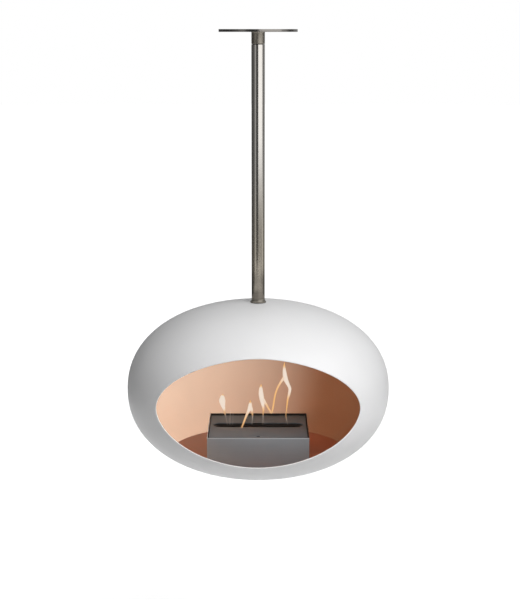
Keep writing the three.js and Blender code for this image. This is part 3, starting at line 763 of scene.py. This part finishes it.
class FIREPLACE_OT_pole(Operator):
    """Turns the pole, its collar and the gasket under it, and sets the grub screws"""

    bl_idname = "fireplace.pole"
    bl_label = "Pole"

    def execute(self, context):
        mount, colours = context.scene.fireplace_mount, context.scene.fireplace_finishes
        radius, bore = mount.pole_radius, mount.pole_radius - mount.pole_wall
        drill = prism(disc(SCREW_BORE), bore - MM, radius + MM)
        aims = [self.aimed(*place) for place in GRUB_SCREW_PLACES]
        holes = [moved(drill, aim) for aim in aims]
        tube = rounded(rectangle((bore, POLE_LOW.z), (radius, POLE_HIGH.z)), 0.35 * MM)
        mesh = carved(mesh_of("pole", *turned(tube, 128)), *holes)
        steel = ringed_steel("pole_steel", colours.steel, 0.12, painted_foot_shade=colours.painted_foot_shade)
        piece("pole", mesh, "fireplace", "brushed_steel", steel, ["pole_tube"])

        foot, spigot, low, ease = COLLAR_HIGH.x, bore - 0.2 * MM, COLLAR_LOW.z, 0.5 * MM
        flare_height = 3.8 * MM
        collar = [(HANGER_BORE, COLLAR_HIGH.z), (HANGER_BORE, low), (foot - ease, low)]
        collar.append((foot, low + ease))
        for i in range(13):
            turn = math.pi / 2 * i / 12
            across, drop = (foot - radius) * (1 - math.sin(turn)), flare_height * math.cos(turn)
            collar.append((radius + across, low + 6 * MM - drop))
        collar.append((radius, POLE_LOW.z - 0.45 * MM))
        collar.append((radius - 0.35 * MM, POLE_LOW.z - 0.1 * MM))
        collar += [(spigot, POLE_LOW.z), (spigot, COLLAR_HIGH.z)]
        mesh = carved(mesh_of("pole_foot", *turned(collar, 128)), *holes)
        dull = dull_steel(colours)
        piece("pole_foot", mesh, "fireplace", "brushed_steel", dull, ["pole_collar"])

        gasket = rectangle((HANGER_BORE, GASKET_LOW.z), (GASKET_HIGH.x, GASKET_HIGH.z))
        slot, polymer = "dark_polymer", stock("black_polymer")
        turned_piece("foot_gasket", gasket, 0.2 * MM, "fireplace", slot, polymer, ["collar_gasket"])

        dark, inner, outer = stock("blackened_steel"), spigot - 2 * MM, radius - 0.3 * MM
        screw = [(0, inner), (SCREW_SHANK, inner), (SCREW_SHANK, outer), (0, outer)]
        screw = rounded(screw, 0.3 * MM)
        screw[0] = (0, inner)
        for count, aim in enumerate(aims, 1):
            mesh = socketed(f"grub_screw_{count}", screw, 2 * MM, outer, aim)
            node = f"pole_set_screw_{count}"
            piece(mesh.name, mesh, "fireplace", "dark_steel", dark, [node])
        return {"FINISHED"}

    @staticmethod
    def aimed(angle, height):
        """Turns what lies along Z so that it points outwards from the pole's axis."""
        turn = Matrix.Rotation(math.radians(angle), 4, "Z") @ Matrix.Rotation(math.pi / 2, 4, "Y")
        return Matrix.Translation((0, 0, height)) @ turn


class FIREPLACE_OT_ball(Operator):
    """Spins the painted shell, cuts its mouth and lays the bead round it"""

    bl_idname = "fireplace.ball"
    bl_label = "Ball"

    def execute(self, context):
        ball, colours = context.scene.fireplace_ball, context.scene.fireplace_finishes
        paint = satin_paint("satin_paint", colours)
        shell = mesh_of("ball_shell", *skin(ball, 0, ball.shell_wall))
        shell, nodes = carved(shell, mouth_cutter(ball)), ["shell_upper", "shell_lower"]
        piece("ball_shell", shell, "fireplace", "white_paint", paint, nodes)
        bead = mesh_of("mouth_bead", *self.bead(ball))
        piece("mouth_bead", bead, "fireplace", "white_paint", paint)
        return {"FINISHED"}

    @staticmethod
    def bead(ball, around=12):
        """Vertices and faces of a thin round bead along the mouth's edge."""
        edge, flatness = ball.shell_wall / 2, 1.9
        path = [Vector((x, depth_at(ball, x, z, edge), z)) for x, z in mouth_outline(ball)]
        vertices, faces, count = [], [], len(path)
        for i, point in enumerate(path):
            k = (i + 1) % count
            ahead = (path[k] - path[i - 1]).normalized()
            out = Vector((point.x, point.y, flatness * (point.z - BALL_MIDDLE))).normalized()
            side = ahead.cross(out).normalized()
            out = side.cross(ahead).normalized()
            for j in range(around):
                turn = 2 * math.pi * j / around
                way = out * math.cos(turn) + side * math.sin(turn)
                vertices.append(point + way * ball.rim_radius)
                m = (j + 1) % around
                faces.append((i * around + j, i * around + m, k * around + m, k * around + j))
        return vertices, faces


class FIREPLACE_OT_firebox(Operator):
    """Spins the copper-coloured liner and lays the hearth disc with its screws"""

    bl_idname = "fireplace.firebox"
    bl_label = "Firebox"

    def execute(self, context):
        ball, colours = context.scene.fireplace_ball, context.scene.fireplace_finishes
        liner = mesh_of("firebox_liner", *skin(ball, ball.liner_depth, ball.liner_wall))
        liner, nodes = carved(liner, mouth_cutter(ball)), ["liner_upper", "liner_lower"]
        copper = copper_coat("spun_copper", colours)
        piece("firebox_liner", liner, "fireplace", "copper_coat", copper, nodes)

        rim, low, seat = FLOOR_HIGH.x, FLOOR_LOW.z, FLOOR_HIGH.z
        inset = Matrix.Translation((rim - HEARTH_SCREW_INSET, 0, 0))
        turns = [Matrix.Rotation(math.radians(a), 4, "Z") for a in HEARTH_SCREW_ANGLES]
        places = [turn @ inset for turn in turns]
        plate = rounded([(0, seat), (0, low), (rim - 0.8 * MM, low), (rim, seat)], 0.3 * MM)
        drill = prism(disc(SCREW_BORE), low - MM, seat + MM)
        holes = [moved(drill, place) for place in places]
        mesh = carved(mesh_of("hearth_disc", *turned(plate, 192)), *holes)
        coat = hearth_coat("hearth_coat", colours)
        piece("hearth_disc", mesh, "fireplace", "copper_coat", coat, ["floor_plate"])

        dark, head, tip, top = stock("blackened_steel"), 4.5 * MM, low - 5 * MM, seat + 2.4 * MM
        screw = [(0, tip), (SCREW_SHANK - 0.4 * MM, tip), (SCREW_SHANK, tip + 0.6 * MM)]
        screw += [(SCREW_SHANK, seat), (head, seat)]
        for i in range(6):
            turn = math.pi / 2 * i / 6
            screw.append((head * math.cos(turn), seat + 0.7 * MM + 1.7 * MM * math.sin(turn)))
        screw.append((0, top))
        for count, place in enumerate(places, 1):
            mesh = socketed(f"hearth_screw_{count}", screw, 1.5 * MM, top, place)
            piece(mesh.name, mesh, "fireplace", "dark_steel", dark, [f"floor_screw_{count}"])
        return {"FINISHED"}


class FIREPLACE_OT_hanger(Operator):
    """Turns the spreader plate and the domed cover of the hanger bolt"""

    bl_idname = "fireplace.hanger"
    bl_label = "Hanger cover"

    def execute(self, context):
        colours = context.scene.fireplace_finishes
        plate = rectangle((HANGER_BORE, SPREADER_LOW.z), (SPREADER_HIGH.x, SPREADER_HIGH.z))
        rest = ("fireplace", "zinc_steel", stock("galvanised_steel"), ["spreader_plate"])
        turned_piece("hanger_spreader", plate, 0.6 * MM, *rest)

        wall, depth = 1.2 * MM, CAP_HIGH.z - CAP_LOW.z
        outside = self.dome(CAP_HIGH.x, depth)
        inside = self.dome(CAP_HIGH.x - wall, depth - wall)
        mesh = mesh_of("hanger_cover", *turned([*outside, *reversed(inside)]))
        copper = copper_coat("spun_copper", colours)
        piece("hanger_cover", mesh, "fireplace", "copper_coat", copper, ["hanger_cap"])
        return {"FINISHED"}

    @staticmethod
    def dome(radius, depth, shoulder=0.45, steps=16):
        """(radius, height) from a dome's lowest point up to its straight rim."""
        face = [(0, CAP_HIGH.z - depth)]
        for i in range(1, steps + 1):
            turn = math.pi / 2 * i / steps
            drop = depth * (shoulder + (1 - shoulder) * math.cos(turn))
            face.append((radius * math.sin(turn), CAP_HIGH.z - drop))
        return [*face, (radius, CAP_HIGH.z)]


class FIREPLACE_OT_burner(Operator):
    """Folds the burner's casing and cuts its lid and its tank"""

    bl_idname = "fireplace.burner"
    bl_label = "Burner"

    def execute(self, context):
        burner, colours = context.scene.fireplace_burner, context.scene.fireplace_finishes
        self.case(burner, colours)
        self.top(burner, colours)
        self.tank(burner)
        return {"FINISHED"}

    @staticmethod
    def case(burner, colours):
        wall = burner.case_wall
        corner, floor = Vector((wall, wall, 0)), CASE_LOW.z + wall
        outside = rounded(rectangle(CASE_LOW, CASE_HIGH), 1.6 * MM, 4)
        inside = rectangle(CASE_LOW + corner, CASE_HIGH - corner)
        cuts = [prism(inside, floor, CASE_HIGH.z + MM)]
        for x in (CASE_LOW.x + FOOT_INSET, CASE_HIGH.x - FOOT_INSET):
            for y in (CASE_LOW.y + FOOT_INSET, CASE_HIGH.y - FOOT_INSET):
                cuts.append(prism(disc(FOOT_PIN_BORE, x, y), CASE_LOW.z - MM, floor + MM))
        mesh = mesh_of("burner_case", *prism(outside, CASE_LOW.z, CASE_HIGH.z))
        mesh = eased(carved(mesh, *cuts), burner.case_edge / 2)
        # The casing's top edge gets a painted highlight.
        grey = brushed_coat(
            "casing_coat", colours.case, 0.42, highlight_from=CASE_HIGH.z - EDGE_HIGHLIGHT_DEPTH
        )
        piece("burner_case", mesh, "burner", "grey_steel", grey, ["burner_casing"])
        # Painted shade: the casing's inner walls and floor take the black material.
        mesh.materials.append(soot(colours))
        low, high = CASE_LOW + corner / 2, CASE_HIGH - corner / 2
        for face in mesh.polygons:
            x, y, z = face.center
            painted_shade_inside = low.x < x < high.x and low.y < y < high.y and z > floor - wall / 2
            face.material_index = painted_shade_inside

    @staticmethod
    def top(burner, colours):
        low, high = LID_LOW.z, LID_HIGH.z
        plate = prism(rounded(rectangle(LID_LOW, LID_HIGH), 0.8 * MM), low, high)
        slot = oblong(burner.slot_length, burner.slot_width, SLOT_Y)
        hook = disc(burner.tool_hole, 0, CASE_LOW.y + HOOK_SETBACK)
        cuts = [prism(outline, low - MM, high + MM) for outline in (slot, hook)]
        mesh = eased(carved(mesh_of("burner_top", *plate), *cuts), 0.35 * MM)
        grey = brushed_coat("lid_coat", colours.lid, 0.46, 0.2)
        piece("burner_top", mesh, "lid", "grey_steel", grey, ["burner_lid"])

    @staticmethod
    def tank(burner):
        wall, low, high = burner.tank_wall, TANK_LOW.z, TANK_HIGH.z
        corner, ledges = Vector((wall, wall, 0)), 2 * burner.ledge
        outside = prism(rounded(rectangle(TANK_LOW, TANK_HIGH), 1.2 * MM), low, high)
        inside = rectangle(TANK_LOW + corner, TANK_HIGH - corner)
        throat = oblong(burner.slot_length - ledges, burner.slot_width - ledges, SLOT_Y)
        cuts = prism(inside, low + wall, high - wall), prism(throat, high - 2 * wall, high + MM)
        mesh = eased(carved(mesh_of("burner_tank", *outside), *cuts), 0.3 * MM, 2)
        # Painted shade: the tank is zinc darkened to near black.
        piece("burner_tank", mesh, "burner", "zinc_steel", stock("sooted_steel"), ["fuel_tank"])


class FIREPLACE_OT_fittings(Operator):
    """Gives the inner fittings, whose CAD shapes stay, their finishes"""

    bl_idname = "fireplace.fittings"
    bl_label = "Inner fittings"

    def execute(self, context):
        colours = context.scene.fireplace_finishes
        dark, zinc, bronze = "blackened_steel", "galvanised_steel", "sintered_bronze"
        chosen = {
            "swivel_bolt": dark,
            "swivel_bush": bronze,
            "thrust_washer": bronze,
            "hanger_bolt": zinc,
            "hanger_washer": zinc,
            "lid_rail_front": dark,
            "lid_rail_back": dark,
            "tank_bearer_front": dark,
            "tank_bearer_back": dark,
            "damper_guide_left": zinc,
            "damper_guide_right": zinc,
            "damper_plate": dark,
        }
        chosen.update({f"floor_bracket_{i}": dark for i in (1, 2, 3)})
        chosen.update({f"burner_foot_{i}": "black_polymer" for i in (1, 2, 3, 4)})
        finishes = {name: stock(kind) for name, kind in chosen.items()}
        finishes["pole_top_plug"] = dull_steel(colours)
        finishes["fibre_block"] = ceramic_fibre("fibre_felt")
        finishes["wick_screen"] = soot(colours)
        for name, coat in finishes.items():
            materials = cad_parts[name].data.materials
            materials.clear()
            materials.append(coat)
        return {"FINISHED"}


# Each tongue is the heights between which it turns from clear to full, and its run from
# top to foot: x, height over the lid, half width and, where it has one, its lean to the
# front, all in millimetres.
TONGUES = {
    "flame_left": [
        (18, 46, [
            (-80.4, 72, 0.5), (-81.4, 68, 4), (-82.2, 58, 7.3), (-80.8, 48, 5.6),
            (-78.8, 40, 3.5), (-76.7, 30, 2.3), (-74.1, 19, 1.2), (-71.6, 6, 0.7),
            (-71, 0.5, 0.5),
        ]),
        (30, 90, [
            (-63, 34.5, 0.4), (-64.1, 20, 1), (-64.9, 1, 0.8),
        ]),
        (30, 90, [
            (-57.5, 30, 0.3), (-57.8, 20, 0.6), (-58.4, 1, 0.5),
        ]),
    ],
    "flame_low": [
        (-20, 30, [
            (-18, 58.3, 0.4), (-18.1, 49, 3.8), (-19.3, 40, 4.6), (-22.8, 32, 3.3),
            (-27.6, 22.3, 2.5, 6), (-32.8, 10.7, 2.1, 16), (-37.6, 0.8, 1.7, 27),
        ]),
        (14, 44, [
            (-17.9, 50, 2.2), (-16.5, 40, 3.6), (-14.4, 32, 2.8), (-13, 22, 1.8),
            (-13.7, 9.3, 1.1), (-14.1, 1, 0.7),
        ]),
    ],
    "flame_tall": [
        (16, 46, [
            (6.8, 96, 0.4), (6.1, 86.6, 3.6), (6.4, 74, 5.4), (8.3, 61.5, 5.4),
            (10.4, 49, 3.8), (11.8, 38, 2.3), (11.2, 23.7, 1.4), (10.8, 6, 0.9),
            (10.8, 0.5, 0.6),
        ]),
        (10, 50, [
            (9, 66, 1.5), (11.1, 60.6, 3.2), (15.2, 53.4, 3), (19.9, 46, 2.3),
            (25, 36.5, 2.1), (30.3, 29, 2.3), (33.4, 38, 2), (36.1, 56, 1.9),
            (39.6, 74, 1.9), (44.3, 87.5, 2.1), (50, 98.3, 2.4), (56.1, 107, 3),
            (60.3, 116, 2.4),
        ]),
        (0, 60, [
            (60, 147, 0.4), (59.2, 137, 2.4), (59.9, 125, 4.2), (61.3, 113.5, 5.2),
            (64.1, 103.6, 4.9), (68.7, 94, 3.7), (72.2, 85, 3.5), (70.5, 73, 3),
            (67.6, 61.5, 2.1), (66.1, 49, 1.6), (64.7, 35.4, 1.2), (63.3, 22, 0.9),
            (65.5, 11, 0.7), (67.3, 1, 0.5),
        ]),
    ],
}


SIDES = 14  # of a tongue
RUN_STEPS = 6  # between two points of a tongue's run
LEAST_HALF = 0.15  # half width that a tongue's ends keep, in millimetres
FULL_HALF = 4.5  # half width from which a tongue is as hot as it gets
LEAST_BODY = 0.07  # how much of the gas shows where it is clearest


def along(points, steps):
    """Points of a smooth curve through the given ones, each a tuple of numbers."""
    ends = [points[0], *points, points[-1]]
    curve = []
    for before, start, end, after in zip(ends, ends[1:], ends[2:], ends[3:]):
        for i in range(steps):
            t = i / steps
            row = []
            for a, b, c, d in zip(before, start, end, after):
                bend = (2 * a - 5 * b + 4 * c - d) * t * t + (3 * b - a - 3 * c + d) * t**3
                row.append(0.5 * (2 * b + (c - a) * t + bend))
            curve.append(row)
    return [*curve, list(points[-1])]


class FIREPLACE_OT_flames(Operator):
    """Draws the flames over the slot, each tongue a bright core in a clearer veil"""

    bl_idname = "fireplace.flames"
    bl_label = "Flames"

    def execute(self, context):
        flames = context.scene.fireplace_flames
        between = tuple(0.7 * a + 0.3 * b for a, b in zip(flames.hot, flames.warm))
        veil = flame_skin("flame_veil", flames, between, 0.6)
        core = flame_skin("flame_core", flames, flames.hot, 0.95)
        for name, tongues in TONGUES.items():
            vertices, faces, skins, widths, bodies = [], [], [], [], []
            for clear, full, run in tongues:
                run = along([(*point, 0)[:4] for point in run], RUN_STEPS)
                for skin_number, share in enumerate((1.0, flames.core)):
                    self.sweep(flames, run, share, clear, full, vertices, widths, bodies)
                    self.close(len(vertices), len(run), faces)
                    skins += [skin_number] * (len(faces) - len(skins))
            mesh = bpy.data.meshes.new(name)
            mesh.from_pydata(vertices, [], faces)
            for key, values in (("width", widths), ("body", bodies)):
                mesh.attributes.new(key, "FLOAT", "POINT").data.foreach_set("value", values)
            flame = piece(name, mesh, "burner", "ceramic_fibre", veil, crease=80)
            mesh.materials.append(core)
            mesh.polygons.foreach_set("material_index", skins)
            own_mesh(flame)
        return {"FINISHED"}

    @staticmethod
    def sweep(flames, run, share, clear, full, vertices, widths, bodies):
        """Adds the rings of a tongue, with how wide and how full the tongue is there."""
        for i, (x, height, half, lean) in enumerate(run):
            ahead, behind = run[min(i + 1, len(run) - 1)], run[max(i - 1, 0)]
            way = Vector((ahead[0] - behind[0], 0, ahead[1] - behind[1])).normalized()
            across = Vector((way.z, 0, -way.x))
            z = LID_HIGH.z + height * MM * flames.size
            middle = Vector((x * MM, SLOT_Y - lean * MM, z))
            half = max(half, LEAST_HALF)
            rise = min(1.0, max(0.0, (height - clear) / (full - clear)))
            for j in range(SIDES):
                turn = 2 * math.pi * j / SIDES
                side = across * math.cos(turn) + Vector((0, math.sin(turn) * flames.depth, 0))
                vertices.append(middle + side * half * share * MM)
                widths.append(min(1.0, half / FULL_HALF))
                bodies.append(LEAST_BODY + (1 - LEAST_BODY) * rise * rise * (3 - 2 * rise))

    @staticmethod
    def close(end, rings, faces):
        """Adds the faces between the last rings up to that end, and over both ends."""
        first = end - rings * SIDES
        for row in range(first, end - SIDES, SIDES):
            for j in range(SIDES):
                k = (j + 1) % SIDES
                faces.append((row + j, row + k, row + SIDES + k, row + SIDES + j))
        faces.append(tuple(reversed(range(first, first + SIDES))))
        faces.append(tuple(range(end - SIDES, end)))


def heading(azimuth, elevation):
    """Unit vector towards an azimuth, 0 at the camera's side and more to the right."""
    turn, rise = math.radians(azimuth), math.radians(elevation)
    level = math.cos(rise)
    return Vector((math.sin(turn) * level, -math.cos(turn) * level, math.sin(rise)))


# Boards round the stage that only reflections show: from and to, in degrees to the
# right of the camera as the pole sees it, lower and upper edge, and how light each is.
BOARDS = [
    (-180, -78, -2.6, 2.4, 0.1),
    (-78, -56, -2.6, 2.4, 0.22),
    (-56, -36, -2.6, 2.4, 0.5),
    (-36, 3, -2.6, 2.4, 0.09),
    (3, 72, -0.38, 2.4, 1.5),
    (3, 72, -0.62, -0.38, 1.2),
    (3, 72, -0.85, -0.62, 0.8),
    (3, 72, -1.05, -0.85, 0.54),
    (3, 72, -2.6, -1.05, 0.38),
    (72, 94, -2.6, 2.4, 0.62),
    (94, 122, -2.6, 2.4, 0.16),
    (122, 180, -2.6, 2.4, 0.4),
]
BOARD_RADIUS = 3.2
BOARD_STEP = 6  # degrees to each of a board's flat facets

# Soft lamps round the ball: azimuth and elevation in degrees, width and height.
LAMPS = {"key": (20, 42, 1.8, 1.4), "side": (68, 33, 1.3, 1.3), "back": (195, 6, 1.6, 1.2)}
LAMP_DISTANCE = 2.6

FIREBOX_LIGHT_PLACE = Vector((0.19, -0.155, -0.765))  # inside the ball's right end
FIREBOX_LIGHT_WAY = Vector((-0.87, 0.49, 0.04))
FIREBOX_LIGHT_SIZE = (0.1, 0.08)
FIREBOX_LIGHT_COLOUR = (0.92, 1.38, 1.85)
FIREBOX_LIGHT_SPREAD = math.radians(112)

CAMERA_PLACE = (0.0041, -3.3654, -0.0027)
CAMERA_TILT = 0.178  # radians below level
CAMERA_LENS = 89.93  # for a sensor of 36 mm along the picture's longer side

FLOOR_RADIUS, FLOOR_THICKNESS = 30, 0.02
FLOOR_GLOW = 0.68  # what makes the lit floor near the object white to the camera
FLOOR_FADE = (0.8, 3.0)  # distances from the pole between which that rises to 1


@finish
def floor_coat(tree):
    """Pale floor: white to the camera where it is lit, and darker in a shadow."""
    x, y, _ = tree.parts(tree.place())
    far = tree.between((x * x + y * y) ** 0.5, *FLOOR_FADE)
    seen = tree.node("ShaderNodeLightPath", output="Is Camera Ray")
    shiny = tree.node("ShaderNodeLightPath", output="Is Glossy Ray")
    glow = tree.maths("MAXIMUM", seen, shiny) * (FLOOR_GLOW + far * (1 - FLOOR_GLOW))
    lit = tree.node("ShaderNodeBsdfDiffuse", None, {"Color": (0.85, 0.85, 0.85)})
    inputs = {"Color": (1, 1, 1), "Strength": glow}
    white = tree.node("ShaderNodeEmission", None, inputs)
    tree.output(tree.node("ShaderNodeAddShader", None, {0: lit, 1: white}))


@finish
def board_light(tree, tone):
    inputs = {"Color": (tone, tone, tone), "Strength": 1.0}
    tree.output(tree.node("ShaderNodeEmission", None, inputs))


class FIREPLACE_OT_stage(Operator):
    """Lays the pale floor and sets the light and the camera"""

    bl_idname = "fireplace.stage"
    bl_label = "Stage"

    def execute(self, context):
        stage, scene = context.scene.fireplace_stage, context.scene
        scene.view_settings.view_transform = "Standard"
        top, outline = -stage.floor_drop, disc(FLOOR_RADIUS, sides=96)
        floor = mesh_of("floor", *prism(outline, top - FLOOR_THICKNESS, top))
        self.backdrop(floor, floor_coat("stage_floor"))
        for count, board in enumerate(BOARDS, 1):
            self.board(f"board_{count}", *board)

        ball = Vector((0, 0, BALL_MIDDLE))
        for name, (azimuth, elevation, *size) in LAMPS.items():
            place = ball + heading(azimuth, elevation) * LAMP_DISTANCE
            self.lamp(name, getattr(stage, f"{name}_power"), place, ball, size)
        place, target = FIREBOX_LIGHT_PLACE, FIREBOX_LIGHT_PLACE + FIREBOX_LIGHT_WAY
        inner = self.lamp("firebox_light", stage.firebox_power, place, target, FIREBOX_LIGHT_SIZE)
        inner.data.color, inner.data.spread = FIREBOX_LIGHT_COLOUR, FIREBOX_LIGHT_SPREAD
        lit = bpy.data.collections.new("lit_by_firebox_light")
        lit.objects.link(scene.objects["firebox_liner"])
        inner.light_linking.receiver_collection = lit
        inner.light_linking.blocker_collection = lit

        self.world(scene, stage)
        camera = bpy.data.cameras.new("camera")
        camera.sensor_fit, camera.sensor_width, camera.lens = "AUTO", 36, CAMERA_LENS
        scene.camera = placed("camera", camera)
        scene.camera.location = CAMERA_PLACE
        scene.camera.rotation_euler = (math.pi / 2 - CAMERA_TILT, 0, 0)
        return {"FINISHED"}

    @staticmethod
    def lamp(name, watts, place, target, size):
        """A soft rectangular lamp, which shows in neither the picture nor the metal."""
        light = bpy.data.lights.new(name, "AREA")
        light.shape, light.size, light.size_y = "RECTANGLE", *size
        light.energy = watts
        lamp = placed(name, light)
        lamp.location = place
        lamp.rotation_euler = (target - place).to_track_quat("-Z", "Y").to_euler()
        lamp.visible_camera = lamp.visible_glossy = False
        return lamp

    @staticmethod
    def backdrop(mesh, coat):
        mesh.materials.append(coat)
        made = placed(mesh.name, mesh)
        return made

    @classmethod
    def board(cls, name, start, end, low, high, tone):
        """A glowing board, part of a cylinder about the pole, that only metal shows."""
        coat = board_light(f"board_{round(tone * 100)}", tone)
        vertices, steps = [], max(2, round((end - start) / BOARD_STEP))
        for i in range(steps + 1):
            x, y, _ = heading(start + (end - start) * i / steps, 0) * BOARD_RADIUS
            vertices += [(x, y, low), (x, y, high)]
        faces = [(2 * i, 2 * i + 2, 2 * i + 3, 2 * i + 1) for i in range(steps)]
        mesh = bpy.data.meshes.new(name)
        mesh.from_pydata(vertices, [], faces)
        board = cls.backdrop(mesh, coat)
        for rays in ("camera", "diffuse", "shadow", "transmission"):
            setattr(board, f"visible_{rays}", False)

    @staticmethod
    def world(scene, stage):
        """White round the object to the camera and in reflections, and a soft fill."""
        scene.world = bpy.data.worlds.new("studio")
        tree = Tree(scene.world)
        seen = tree.node("ShaderNodeLightPath", output="Is Camera Ray")
        for rays in ("Glossy", "Transmission"):
            more = tree.node("ShaderNodeLightPath", output=f"Is {rays} Ray")
            seen = tree.maths("MAXIMUM", seen, more)
        strength = stage.fill + seen * (1 - stage.fill)
        inputs = {"Color": (1, 1, 1), "Strength": strength}
        sky = tree.node("ShaderNodeBackground", None, inputs)
        tree.node("ShaderNodeOutputWorld", None, {"Surface": sky})


# ---- sidebar

STEPS = (
    FIREPLACE_OT_mount,
    FIREPLACE_OT_pole,
    FIREPLACE_OT_ball,
    FIREPLACE_OT_firebox,
    FIREPLACE_OT_hanger,
    FIREPLACE_OT_burner,
    FIREPLACE_OT_fittings,
    FIREPLACE_OT_flames,
    FIREPLACE_OT_stage,
)
SETTINGS = {
    "fireplace_mount": MountSettings,
    "fireplace_ball": BallSettings,
    "fireplace_burner": BurnerSettings,
    "fireplace_flames": FlameSettings,
    "fireplace_finishes": FinishSettings,
    "fireplace_stage": StageSettings,
}


class FIREPLACE_PT_sidebar(Panel):
    """Settings and steps of the fireplace"""

    bl_label = "Hanging fireplace"
    bl_space_type = "VIEW_3D"
    bl_region_type = "UI"
    bl_category = "Fireplace"

    def draw(self, context):
        for group, kind in SETTINGS.items():
            box = self.layout.box()
            box.label(text=kind.__doc__)
            for setting in kind.__annotations__:
                box.prop(getattr(context.scene, group), setting)
        for step in STEPS:
            self.layout.operator(step.bl_idname)


def register():
    for kind in (*SETTINGS.values(), *STEPS, FIREPLACE_PT_sidebar):
        bpy.utils.register_class(kind)
    for group, kind in SETTINGS.items():
        setattr(bpy.types.Scene, group, PointerProperty(type=kind))


def unregister():
    for group in SETTINGS:
        delattr(bpy.types.Scene, group)
    for kind in reversed((*SETTINGS.values(), *STEPS, FIREPLACE_PT_sidebar)):
        bpy.utils.unregister_class(kind)


def main():
    """Builds the fireplace."""
    register()
    for step in STEPS:
        area, name = step.bl_idname.split(".")
        getattr(getattr(bpy.ops, area), name)()


if __name__ == "__main__":
    main()
